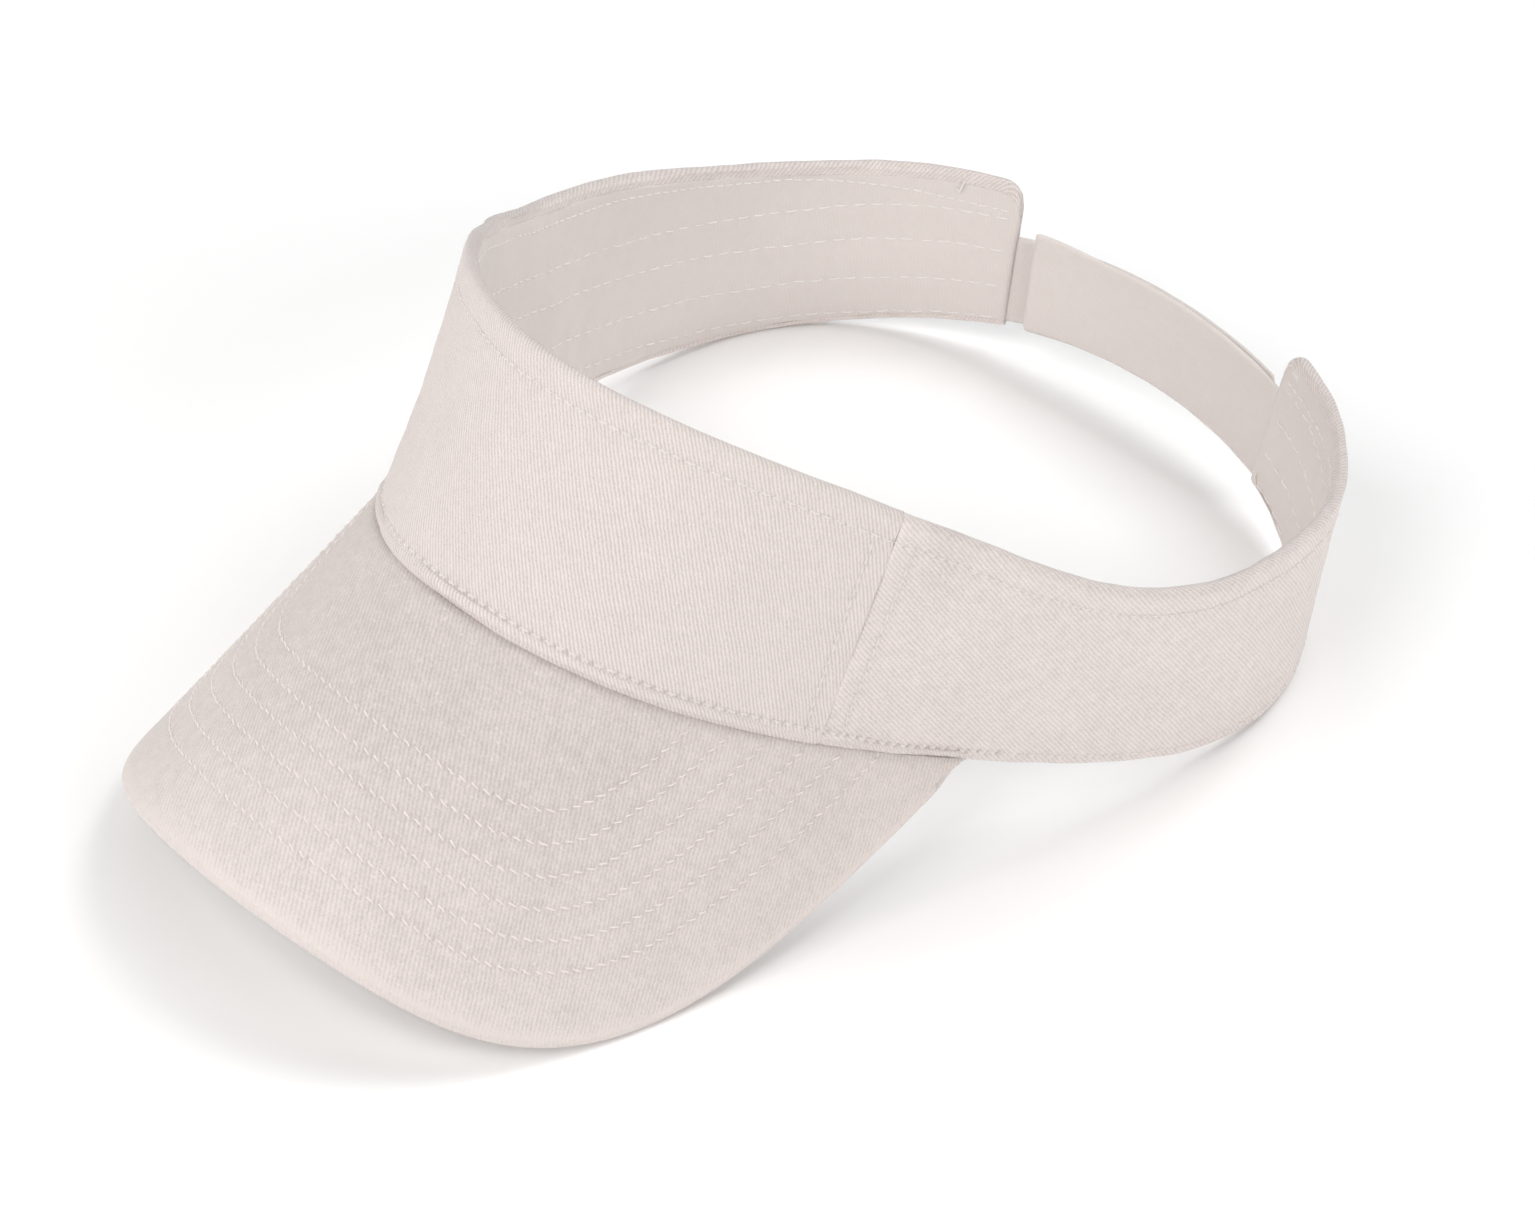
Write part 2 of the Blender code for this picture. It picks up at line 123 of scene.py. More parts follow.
# The closure
STRAP_LOW = 1.25 * MM
INNER_STRAP_HEIGHT = 22.0 * MM
OUTER_STRAP_HEIGHT = 20.5 * MM
INNER_POINT_RISE = 2.0 * MM
INNER_POINT_LENGTH = 17.0 * MM
STRAP_END_GAP = 5.0 * MM
STRAP_SAG = 1.5 * MM
STRAP = 1.0 * MM
TAPE = 0.5 * MM
TAPE_GAP = 0.25 * MM
STRAP_PITCH = STRAP + 2 * TAPE + 3 * TAPE_GAP
TAPE_HEIGHT = 18.0 * MM
TAPE_END_MARGIN = 5.0 * MM


# Curves and surfaces


def unit(vectors):
    return vectors / np.linalg.norm(vectors, axis=-1, keepdims=True)


def lengths_along(path):
    """The distance along a path from its start to each of its points."""
    return np.concatenate([[0], np.cumsum(np.linalg.norm(np.diff(path, axis=0), axis=1))])


def between_points(places, known, vectors):
    """Vectors known at some places along a path, worked out at other places on it."""
    return np.stack([np.interp(places, known, vectors[:, k]) for k in range(3)], axis=-1)


class ClosedCurve:
    """The smoothest closed curve through the stations, the same on both sides of the head."""

    def __init__(self, stations):
        stations = np.array(stations, float) * MM
        last = len(stations) - 1
        waves = np.arange(last + 1)
        angles = np.pi * np.outer(waves, waves) / last
        weights = np.where((waves == 0) | (waves == last), 0.5, 1.0)
        self.waves = waves
        self.sines = 2 / last * np.sin(angles) @ stations[:, 0]
        self.cosines = (2 / last * np.cos(angles) * weights * weights[:, None]) @ stations[:, 1:]

    def __call__(self, degrees):
        phase = np.multiply.outer(np.radians(degrees), self.waves)
        across = (np.sin(phase) @ self.sines)[..., None]
        return np.concatenate([across, np.cos(phase) @ self.cosines], axis=-1)


def spline_through(points):
    """A natural cubic spline through evenly spaced points, as a function of a position 0 to 1."""
    points = np.array(points, float) * MM
    count = len(points)
    system = np.eye(count)
    bends = np.zeros_like(points)
    for i in range(1, count - 1):
        system[i, i - 1 : i + 2] = (1, 4, 1)
        bends[i] = 6 * (points[i + 1] - 2 * points[i] + points[i - 1])
    bends = np.linalg.solve(system, bends)

    def at(position):
        place = np.clip(position, 0, 1) * (count - 1)
        i = np.minimum(place.astype(int), count - 2)
        after = (place - i)[..., None]
        before = 1 - after
        straight = before * points[i] + after * points[i + 1]
        sag = (before**3 - before) * bends[i] + (after**3 - after) * bends[i + 1]
        return straight + sag / 6

    return at


BOTTOM_EDGE = ClosedCurve(BOTTOM_STATIONS)
RIM = ClosedCurve(RIM_STATIONS)
MIRRORED = [(-x, y, z) for x, y, z in reversed(BILL_EDGE_STATIONS[1:])]
BILL_EDGE = spline_through(MIRRORED + list(BILL_EDGE_STATIONS))


def leaned(degrees):
    """Where on the rim the cloth above a place on the bottom edge ends: nearer the front."""
    angle = np.radians(degrees)
    return degrees - LEAN_DEG * np.sin(angle) * (1 + LEAN_FRONT_SHARE * np.cos(angle))


def band_lines(degrees):
    """The bottom point, the unit direction up the band and its height, at each angle."""
    bottom = BOTTOM_EDGE(degrees)
    rise = RIM(leaned(degrees)) - bottom
    height = np.linalg.norm(rise, axis=-1)
    return bottom, unit(rise), height


def band_height(degrees):
    return band_lines(degrees)[2]


def band_frame(degrees, height):
    """Points in the middle of the band's thickness, and the outward direction at each."""
    degrees, height = np.broadcast_arrays(degrees, height)
    height = height[..., None]
    half_step = 0.05
    bottom, rise, _ = band_lines(degrees)

    def on_band(at):
        edge, up, _ = band_lines(at)
        return edge + up * height

    along = on_band(degrees + half_step) - on_band(degrees - half_step)
    return bottom + rise * height, unit(np.cross(along, rise))


def bill_seam(across):
    return BOTTOM_EDGE(BILL_CORNER_DEG * across)


def bill_edge(across):
    return BILL_EDGE((across + 1) / 2)


def bill_frame(across, down):
    """Points of the bill's middle surface and the upward direction there: across -1 to 1, down 0
    at the seam to 1 at the free edge."""
    across, down = np.broadcast_arrays(across, down)
    down = down[..., None]
    step = 1e-3

    def on_bill(at):
        return bill_seam(at) * (1 - down) + bill_edge(at) * down

    low, high = np.clip(across - step, -1, 1), np.clip(across + step, -1, 1)
    along = on_bill(high) - on_bill(low)
    outward = bill_edge(across) - bill_seam(across)
    return on_bill(across), unit(np.cross(outward, along))


BILL_EDGE_POINTS = bill_edge(np.linspace(-1, 1, 401))


def edge_distance(across, down):
    points = bill_frame(across, down)[0]
    return np.linalg.norm(points[..., None, :] - BILL_EDGE_POINTS, axis=-1).min(axis=-1)


def last_where(holds, low, high):
    """Halves the way from low to high until it finds where the condition stops holding."""
    for _ in range(24):
        middle = (low + high) / 2
        inside = holds(middle)
        low, high = np.where(inside, middle, low), np.where(inside, high, middle)
    return low


def inset_from_edge(across, inset, seam_share):
    """How far down the bill a line with this inset from the free edge runs, at each across."""
    start, end = np.full(len(across), seam_share), np.ones(len(across))
    return last_where(lambda down: edge_distance(across, down) > inset, start, end)


def bill_reach(inset, seam_share):
    """The across at which a line whose inset from the free edge is inset(across) meets the seam."""
    return last_where(lambda at: edge_distance(at, seam_share) > inset(at), np.zeros(1), np.ones(1))


def flat_pattern(lower, upper):
    """Unrolls ruled cloth, strip by strip, and returns the flat places of its two edges. The
    ruling in the middle stands upright there."""
    flat_low = np.zeros((len(lower), 2))
    flat_high = np.zeros((len(lower), 2))
    flat_high[0, 1] = np.linalg.norm(upper[0] - lower[0])

    def beside(start, end, to_start, to_end):
        base = np.linalg.norm(end - start)
        ahead = (end - start) / base
        along = (to_start**2 - to_end**2 + base**2) / (2 * base)
        away = math.sqrt(max(to_start**2 - along**2, 0.0))
        return start + ahead * along + np.array((ahead[1], -ahead[0])) * away

    def apart(a, b):
        return np.linalg.norm(a - b)

    for i in range(len(lower) - 1):
        near, far = lower[i + 1], upper[i + 1]
        flat_low[i + 1] = beside(flat_low[i], flat_high[i], apart(near, lower[i]), apart(near, upper[i]))
        flat_high[i + 1] = beside(flat_low[i + 1], flat_high[i], apart(far, near), apart(far, upper[i]))
    middle = len(lower) // 2
    upright = flat_high[middle] - flat_low[middle]
    turn = math.atan2(upright[0], upright[1])
    turned = np.array([[math.cos(turn), -math.sin(turn)], [math.sin(turn), math.cos(turn)]])
    origin = flat_low[middle].copy()
    return (flat_low - origin) @ turned.T, (flat_high - origin) @ turned.T


def gentle_waves(flat, size, seed):
    """A smooth uneven field of about -1 to 1 over flat cloth, with swells of about this size."""
    made = np.random.default_rng(seed)
    total = np.zeros(flat.shape[:-1])
    count = 7
    for _ in range(count):
        turn = made.uniform(0, 2 * np.pi)
        length = size * made.uniform(0.7, 1.6)
        phase = made.uniform(0, 2 * np.pi)
        run = flat[..., 0] * math.cos(turn) + flat[..., 1] * math.sin(turn)
        total += np.sin(2 * np.pi * run / length + phase)
    return total / math.sqrt(count)


def swells(flat, seed, *heights_and_sizes):
    """Gentle waves of these heights and sizes, in millimetres, added up over flat cloth."""
    total = 0
    for i, (height, size) in enumerate(heights_and_sizes):
        total = total + height * MM * gentle_waves(flat, size * MM, seed + i)
    return total


def smooth_step(low, high, value):
    share = np.clip((value - low) / (high - low), 0, 1)
    return share * share * (3 - 2 * share)


def bell(distance, width):
    return np.exp(-((distance / width) ** 2))


# Meshes


def add_object(name, data):
    made = bpy.data.objects.new(name, data)
    bpy.context.scene.collection.objects.link(made)
    return made


def new_piece(name, points, faces, flat, material, body, shade=None):
    """An object from its points, its faces, and the flat place of each point in metres. shade is
    the painted shade at each point: how much darker the cloth is painted there, and a painted highlight below
    zero."""
    mesh = bpy.data.meshes.new(name)
    mesh.from_pydata(points.reshape(-1, 3).tolist(), [], faces)
    mesh.update()
    mesh.shade_smooth()
    layer = mesh.uv_layers.new(name="flat")
    corners = np.zeros(len(mesh.loops), np.int32)
    mesh.loops.foreach_get("vertex_index", corners)
    layer.data.foreach_set("uv", flat.reshape(-1, 2)[corners].astype(np.float32).ravel())
    if shade is not None:
        darkness = mesh.attributes.new("shade", "FLOAT", "POINT")
        darkness.data.foreach_set("value", shade.astype(np.float32).ravel())
    mesh.materials.append(material)
    obj = add_object(name, mesh)
    if body:
        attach(obj, body)
    return obj


def declare_cut(cut):
    """Works out the width, length and area of the flat cloth a piece was cut from, and uses them for nothing.
    cut is the grid of flat places of that cloth.
    """
    width, length = np.ptp(cut.reshape(-1, 2), axis=0)
    one, other = cut[1:, 1:] - cut[:-1, :-1], cut[1:, :-1] - cut[:-1, 1:]
    area = 0.5 * np.abs(one[..., 0] * other[..., 1] - one[..., 1] * other[..., 0]).sum()
    area = min(area, width * length)


def tree_of(piece):
    """The surface of a piece, to find how high it lies."""
    mesh = piece.data
    corners, faces = (vertex.co for vertex in mesh.vertices), (face.vertices for face in mesh.polygons)
    return BVHTree.FromPolygons(list(corners), list(faces))


def ring_faces(sections, around, first=0):
    """Faces round a row of closed sections, numbered from first, and over both ends."""
    ring = np.arange(around)
    following = np.roll(ring, -1)
    faces = []
    for i in range(sections - 1):
        a = first + i * around
        b = a + around
        faces.append(np.stack([a + ring, b + ring, b + following, a + following], axis=1))
    last = first + (sections - 1) * around
    return [*np.concatenate(faces).tolist(), (first + ring).tolist(), (last + ring[::-1]).tolist()]


class Row:
    """A row of stitches along a path on the cloth. The needle holes are a pitch apart."""

    def __init__(self, path, out, pitch, stitch, radius, depth, pucker, hole, deeper=None):
        length = lengths_along(path)
        self.count = max(1, round(length[-1] / pitch))
        self.pitch = length[-1] / self.count
        self.stitch = stitch * self.pitch / pitch
        self.places = np.linspace(0, length[-1], int(length[-1] / ROW_CELL) + 2)
        self.path = between_points(self.places, length, path)
        self.out = unit(between_points(self.places, length, out))
        self.radius = radius
        self.depth = np.full(len(self.places), depth)
        if deeper is not None:
            self.depth = self.depth + np.interp(self.places, length, deeper)
        self.pucker = pucker
        self.hole = hole
        self.tree = KDTree(len(self.path))
        for i, point in enumerate(self.path):
            self.tree.insert(point, i)
        self.tree.balance()

    def at(self, places):
        on_path = between_points(places, self.places, self.path)
        return on_path, unit(between_points(places, self.places, self.out))

    def pull(self, points):
        """How far this row moves the cloth outward at each point: a groove, deepest at the needle holes, and
        small folds that run from the holes.
        Then the painted shade at the needle holes: how much darker each point near a hole is painted."""
        moved = np.zeros(len(points))
        holes = np.zeros(len(points))
        reach = 5 * GROOVE_WIDTH
        for i, point in enumerate(points):
            _, index, distance = self.tree.find(point)
            if distance < reach:
                place = self.places[index] / self.pitch
                turn = math.cos(2 * math.pi * place)
                groove = math.exp(-((distance / GROOVE_WIDTH) ** 2)) * (0.7 + 0.3 * turn)
                fold = math.exp(-((distance / (2.4 * GROOVE_WIDTH)) ** 2)) * turn
                fold *= math.cos(1.1 * math.pi * distance / self.pitch)
                moved[i] = -self.depth[index] * groove - self.pucker * fold
                from_hole = math.hypot((place - round(place)) * self.pitch, distance)
                # Painted shade in the needle hole, standing in for its shadow; a painted highlight where hole
                # is below zero
                holes[i] = self.hole * math.exp(-((from_hole / HOLE_RADIUS) ** 2))
        return moved, holes


def pulled(points, rows):
    """How far all the rows together move the cloth outward at each point, and the painted shade at the needle
    holes.
    """
    flat_list = points.reshape(-1, 3)
    moved = np.zeros(len(flat_list))
    holes = np.zeros(len(flat_list))
    for row in rows:
        by_row, row_holes = row.pull(flat_list)
        moved += by_row
        holes = np.maximum(holes, row_holes)
    return moved.reshape(points.shape[:-1]), holes.reshape(points.shape[:-1])


def height_of_cloth(centre, out, cloths):
    """How far outward of each point the finished cloth lies."""
    reach = 4 * MM
    lift = np.full(centre.shape[:-1], -reach)
    for index in np.ndindex(lift.shape):
        start, aim = Vector(centre[index] + out[index] * reach), Vector(-out[index])
        for cloth in cloths:
            distance = cloth.ray_cast(start, aim, 2 * reach)[3]
            if distance is not None:
                lift[index] = max(lift[index], reach - distance)
    return np.where(lift > -reach, lift, 0.0)


def tube(centre, out, radius, places):
    """The rounds of points along threads, and their flat places."""
    along = unit(np.gradient(centre, axis=-2))
    side = unit(np.cross(along, out))
    up = np.cross(side, along)
    turns = np.arange(THREAD_SIDES) * 2 * np.pi / THREAD_SIDES
    spokes = np.cos(turns)[:, None] * side[..., None, :] + np.sin(turns)[:, None] * up[..., None, :]
    points = centre[..., None, :] + radius[..., None, None] * spokes
    flat = np.zeros(points.shape[:-1] + (2,))
    flat[..., 0] = places[..., None]
    flat[..., 1] = turns / (2 * np.pi)
    return points, flat


def thread_piece(name, row, cloths, material, seed, skew=0.0, stands_for=()):
    """The visible stitches of a row. Each is a short rounded length of thread between two needle
    holes, and dips into the cloth at both."""
    made = np.random.default_rng(seed)
    share = np.linspace(0, 1, THREAD_ROUNDS)
    starts = np.arange(row.count) * row.pitch + (row.pitch - row.stitch) / 2
    starts = starts + made.normal(0, 0.03 * row.pitch, row.count)
    lengths = row.stitch * made.uniform(0.92, 1.06, row.count)
    places = starts[:, None] + lengths[:, None] * share
    centre, out = row.at(places)
    side = unit(np.cross(np.gradient(centre, axis=1), out))
    cloth = height_of_cloth(centre, out, cloths)
    rise = np.sin(np.pi * share)
    lift = cloth + row.radius * (1 - 2 * THREAD_SUNK) + row.radius * THREAD_ARCH * (rise * 1.4 - 1)
    sway = row.radius * made.normal(0, 0.35, (row.count, 1)) * rise
    lean = row.radius * (skew + made.normal(0, 0.3, (row.count, 1))) * (2 * share - 1)
    centre = centre + out * lift[..., None] + side * (sway + lean)[..., None]
    blunt = np.clip(np.sqrt(np.clip(1 - (2 * share - 1) ** 6, 0, 1)), 0.3, 1)
    plump = row.radius * blunt * made.uniform(0.9, 1.1, (row.count, 1))
    points, flat = tube(centre, out, plump, places)
    faces = []
    for i in range(row.count):
        faces += ring_faces(THREAD_ROUNDS, THREAD_SIDES, i * THREAD_ROUNDS * THREAD_SIDES)
    piece = new_piece(name, points, faces, flat, material, "band")
    if stands_for:
        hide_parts(*stands_for)


# Materials


class Shader:
    """A short way to write a node material."""

    def __init__(self, name):
        self.material = bpy.data.materials.new(name)
        self.material.use_nodes = True
        self.tree = self.material.node_tree
        self.surface = self.tree.nodes["Principled BSDF"]

    def node(self, kind, inputs=(), **settings):
        made = self.tree.nodes.new(kind)
        for key, value in settings.items():
            setattr(made, key, value)
        self.fill(made, dict(enumerate(inputs)))
        return made

    def fill(self, node, inputs):
        """Sets or links inputs of a node, given by name or by number."""
        for key, value in inputs.items():
            if isinstance(value, bpy.types.NodeSocket):
                self.tree.links.new(value, node.inputs[key])
            else:
                node.inputs[key].default_value = value

    def math(self, operation, *values, clamp=False):
        return self.node("ShaderNodeMath", values, operation=operation, use_clamp=clamp).outputs[0]

    def plus(self, base, value, factor, clamp=False):
        """The base plus the value times the factor."""
        return self.math("MULTIPLY_ADD", value, factor, base, clamp=clamp)

    def varied(self, base, noise, amount):
        """The base, made uneven to both sides by a noise from 0 to 1."""
        return self.plus(base, self.math("SUBTRACT", noise, 0.5), amount)

    def dot(self, vector, other):
        made = self.node("ShaderNodeVectorMath", (vector, other), operation="DOT_PRODUCT")
        return made.outputs["Value"]

    def noise(self, vector, scale, detail=2.0, roughness=0.5):
        made = self.node("ShaderNodeTexNoise")
        self.fill(made, {"Vector": vector, "Scale": scale, "Detail": detail, "Roughness": roughness})
        return made.outputs["Fac"]

    def flat(self):
        return self.node("ShaderNodeUVMap", uv_map="flat").outputs[0]

    def wave(self, turns):
        """From 0 to 1 and back once for each whole turn, 1 at whole numbers."""
        swing = self.math("COSINE", self.math("MULTIPLY", turns, 2 * math.pi))
        return self.plus(0.5, swing, 0.5)

    def between(self, share, low, high):
        """A colour between two others."""
        made = self.node("ShaderNodeMix", data_type="RGBA")
        first, second = (socket for socket in made.inputs if socket.type == "RGBA")
        first.default_value, second.default_value = (*low, 1.0), (*high, 1.0)
        self.fill(made, {"Factor": share})
        return next(socket for socket in made.outputs if socket.type == "RGBA")

    def finish(self, colour, roughness, height, bump_distance, bump_strength, sheen=0.0):
        bump = self.node("ShaderNodeBump")
        self.fill(bump, {"Strength": bump_strength, "Distance": bump_distance, "Height": height})
        looks = {"Base Color": colour, "Roughness": roughness, "Specular IOR Level": 0.3}
        looks |= {"Sheen Weight": sheen, "Sheen Roughness": 0.5, "Normal": bump.outputs[0]}
        self.fill(self.surface, looks)
        return self.material


def scaled(colour, factor):
    return tuple(min(channel * factor, 1.0) for channel in colour)


def twill(name, colour, pitch, lean_deg, contrast=1.0, relief=1.0, mottle=1.0, specks=0.0):
    """Brushed cotton twill: fine steep ribs with a dotted dark line between them, blurred by nap."""
    shader = Shader(name)
    flat = shader.flat()
    lean = math.radians(lean_deg)
    dot_pitch = 0.75 * pitch
    across = (math.cos(lean) / pitch, -math.sin(lean) / pitch, 0.0)
    along = (math.sin(lean) / dot_pitch, math.cos(lean) / dot_pitch, 0.0)
    drift = shader.noise(flat, 90.0, 2.0)
    ribs = shader.plus(shader.dot(flat, across), drift, 1.3)
    jitter = shader.noise(flat, 1400.0, 1.0)
    ribs = shader.plus(ribs, jitter, 0.5)
    ridge = shader.wave(ribs)
    index = shader.math("FLOOR", shader.math("ADD", ribs, 0.5))
    steps = shader.plus(shader.dot(flat, along), index, 0.37)
    segment = shader.wave(shader.plus(steps, jitter, 1.6))
    gap = shader.math("POWER", shader.math("SUBTRACT", 1.0, ridge), 1.3)
    dots = shader.math("MULTIPLY", gap, shader.plus(0.4, segment, 0.6))
    nap = shader.noise(flat, 2000.0, 2.0, 0.7)
    # A noise for uneven wear in the cloth's tone and roughness
    wear_and_painted_highlight = shader.noise(flat, 420.0, 3.0, 0.65)
    cloudy = shader.noise(flat, 60.0, 2.0)
    tone = shader.plus(0.92, dots, -0.8 * contrast)
    tone = shader.varied(tone, nap, 0.9 * mottle)
    tone = shader.varied(tone, wear_and_painted_highlight, 0.7 * mottle)
    lint = shader.math("SUBTRACT", shader.noise(flat, 1100.0, 1.0), 0.66)
    tone = shader.plus(tone, shader.math("MAXIMUM", lint, 0.0), 3.5 * specks)
    tone = shader.varied(tone, cloudy, 0.3 * mottle)
    # The shade attribute paints shade onto the cloth, and below zero paints a highlight
    darker = shader.node("ShaderNodeAttribute", attribute_name="shade").outputs["Fac"]
    tone = shader.plus(tone, darker, -1.3, clamp=True)
    shade = shader.between(tone, scaled(colour, 0.70), scaled(colour, 1.07))
    height = shader.plus(shader.math("MULTIPLY", segment, 0.2), ridge, 0.55)
    height = shader.plus(height, nap, 0.6)
    roughness = shader.plus(0.87, wear_and_painted_highlight, 0.1)
    return shader.finish(shade, roughness, height, 0.2 * MM * relief, 0.6, sheen=0.25)


def spun_thread(name, colour):
    """Three-ply polyester thread, twisted."""
    shader = Shader(name)
    flat = shader.flat()
    twist = shader.wave(shader.dot(flat, (1 / (0.55 * MM), 3.0, 0.0)))
    hairs = shader.noise(flat, 3000.0, 2.0)
    tone = shader.plus(shader.math("MULTIPLY", hairs, 0.4), twist, 0.6, clamp=True)
    shade = shader.between(tone, scaled(colour, 0.86), scaled(colour, 1.05))
    roughness = shader.plus(0.5, hairs, 0.2)
    return shader.finish(shade, roughness, tone, 0.05 * MM, 0.5, sheen=0.1)


def tape_nap(name, colour, fuzzy):
    """Nylon fastening tape: rows of hooks, or a tangle of loops."""
    shader = Shader(name)
    place = shader.flat()
    tangle = shader.noise(place, 2400.0, 3.0, 0.7)
    if fuzzy:
        height = tangle
    else:
        rows = shader.wave(shader.dot(place, (1 / HOOK_PITCH, 0.0, 0.0)))
        stems = shader.wave(shader.dot(place, (0.0, 1 / HOOK_PITCH, 0.0)))
        height = shader.plus(shader.math("MULTIPLY", rows, stems), tangle, 0.3)
    shade = shader.between(height, scaled(colour, 0.72), scaled(colour, 1.04))
    roughness = shader.plus(0.55, tangle, 0.25)
    return shader.finish(shade, roughness, height, 0.3 * MM, 0.8, sheen=0.15)


def solid_material(name, colour, cell, roughness_low, relief, sheen=0.0):
    """For the inner layers: an even material with a fine grain in the object's own space."""
    shader = Shader(name)
    place = shader.node("ShaderNodeTexCoord").outputs["Object"]
    grain = shader.noise(place, 1 / cell, 3.0, 0.6)
    clouds = shader.noise(place, 0.15 / cell, 2.0)
    tone = shader.plus(shader.math("MULTIPLY", clouds, 0.4), grain, 0.6, clamp=True)
    shade = shader.between(tone, scaled(colour, 0.88), scaled(colour, 1.04))
    roughness = shader.plus(roughness_low, grain, 0.15)
    return shader.finish(shade, roughness, grain, relief, 0.5, sheen=sheen)


CLOTH_COLOUR = (0.757, 0.682, 0.656)
# The bill's colour is the band's cloth colour painted about a tenth darker: painted shade on the bill
SHADED_BILL_COLOUR = (0.68, 0.612, 0.587)
LINING_COLOUR = (0.695, 0.637, 0.61)
THREAD_COLOUR = (0.84, 0.79, 0.77)
BILL_THREAD_COLOUR = (0.865, 0.795, 0.765)
INNER_THREAD_COLOUR = (0.90, 0.865, 0.845)
TAPE_COLOUR = (0.72, 0.68, 0.64)
INTERLINING_COLOUR = (0.80, 0.79, 0.75)
BOARD_COLOUR = (0.85, 0.85, 0.83)

FRONT_TWILL = twill("front_twill", CLOTH_COLOUR, 0.68 * MM, -30.5, contrast=1.1, mottle=0.5)
SIDE_TWILL = twill("side_twill", CLOTH_COLOUR, 0.76 * MM, -35.0, contrast=0.8, mottle=0.9, specks=0.3)
BILL_TWILL = twill("bill_twill", SHADED_BILL_COLOUR, 0.80 * MM, -29.0, contrast=0.65, mottle=1.1, specks=1.5)
LINING_TWILL, STRAP_TWILL = (
    twill(name, LINING_COLOUR, 0.76 * MM, 32.0, contrast=0.12, relief=0.25, mottle=0.25)
    for name in ("lining_twill", "strap_twill")
)
THREAD = spun_thread("thread", THREAD_COLOUR)
BILL_THREAD = spun_thread("bill_thread", BILL_THREAD_COLOUR)
INNER_THREAD = spun_thread("inner_thread", INNER_THREAD_COLOUR)
HOOK_PITCH = 1.1 * MM
HOOKS = tape_nap("hook_nylon", TAPE_COLOUR, fuzzy=False)
LOOPS = tape_nap("loop_nylon", TAPE_COLOUR, fuzzy=True)
INTERLINING = solid_material("interlining", INTERLINING_COLOUR, 0.8 * MM, 0.8, 0.1 * MM, sheen=0.1)
BOARD = solid_material("board_plastic", BOARD_COLOUR, 1.5 * MM, 0.4, 0.03 * MM)


# Camera, floor and light


def make_camera():
    forward = Vector(CAMERA_FORWARD).normalized()
    right = forward.cross(Vector(CAMERA_UP)).normalized()
    up = right.cross(forward)
    data = bpy.data.cameras.new("camera")
    data.sensor_fit = "HORIZONTAL"
    data.sensor_width = CAMERA_SENSOR
    data.lens = CAMERA_LENS
    data.clip_start = 0.01
    camera = add_object("camera", data)
    axes = Matrix((right, up, -forward)).transposed().to_4x4()
    camera.matrix_world = Matrix.Translation(CAMERA_PLACE) @ axes
    bpy.context.scene.camera = camera


FLOOR_HALF = 3.0
FLOOR_GAP = 0.1 * MM
FLOOR_COLOUR = (0.97, 0.97, 0.97)
SKY_COLOUR = (1.0, 0.965, 0.94)
SKY_STRENGTH = 0.01
FRONT_TINT = (1.0, 0.985, 0.97)
BACK_TINT = (0.98, 1.0, 1.01)
LIGHT_TARGET = (0.0, 0.0, 0.04)
# Name, place in metres, side of the square in metres, power in watts and tint
SOFTBOXES = (
    ("back", (-0.51, 0.617, 1.386), 1.0, 1.8, BACK_TINT),
    ("back_right", (0.075, 0.797, 1.386), 0.9, 10.6, BACK_TINT),
    ("back_left", (-0.796, 0.076, 1.386), 0.9, 3.6, BACK_TINT),
    ("front_left", (-0.107, -1.126, 1.131), 1.0, 14.8, FRONT_TINT),
    ("front_right", (1.379, -0.131, 0.8), 1.0, 8.9, FRONT_TINT),
    ("low_left", (-0.792, -1.35, 0.333), 1.0, 7.7, FRONT_TINT),
    ("low_right", (1.474, 0.525, 0.333), 1.0, 4.9, FRONT_TINT),
    ("right", (1.068, 0.883, 0.8), 1.2, 1.4, FRONT_TINT),
)


def soft_light(name, place, size, power, colour):
    """A square softbox that faces the middle of the visor."""
    data = bpy.data.lights.new(name + "_softbox", "AREA")
    data.shape = "SQUARE"
    data.size = size
    data.energy = power
    data.color = colour
    light = add_object(data.name, data)
    light.location = place
    light.rotation_euler = (Vector(LIGHT_TARGET) - Vector(place)).to_track_quat("-Z", "Y").to_euler()


def make_stage():
    mesh = bpy.data.meshes.new("floor")
    low = CAD_BOX[0][2] - FLOOR_GAP
    ways = ((-1, -1), (1, -1), (1, 1), (-1, 1))
    mesh.from_pydata([(x * FLOOR_HALF, y * FLOOR_HALF, low) for x, y in ways], [], [(0, 1, 2, 3)])
    shader = Shader("floor_paint")
    paint = {"Base Color": (*FLOOR_COLOUR, 1.0), "Roughness": 1.0, "Specular IOR Level": 0.0}
    shader.fill(shader.surface, paint)
    mesh.materials.append(shader.material)
    floor = add_object("floor", mesh)
    world = bpy.data.worlds.new("soft_sky")
    world.use_nodes = True
    background = world.node_tree.nodes["Background"]
    background.inputs["Color"].default_value = (*SKY_COLOUR, 1.0)
    background.inputs["Strength"].default_value = SKY_STRENGTH
    bpy.context.scene.world = world
    for softbox in SOFTBOXES:
        soft_light(*softbox)
    bpy.context.scene.view_settings.view_transform = "Standard"


# The band


def row_on_band(degrees, heights, offset, **how):
    middle, out = band_frame(degrees, heights)
    facing = np.sign(offset)
    return Row(middle + out * offset, out * facing, **how)


DENSE = 0.15
RIM_ROW_DROP = 5.6 * MM
BILL_SEAM_ROW = 3.7 * MM
BOTTOM_ROW = 2.6 * MM
SEAM_ROW_SIDE = 4.0 * MM
SEAM_ROW_CLEAR = 1.5 * MM
SEAM_ROW_POINTS = 300
CREASE = 0.35 * MM
END_STEP_DEG = 1.2
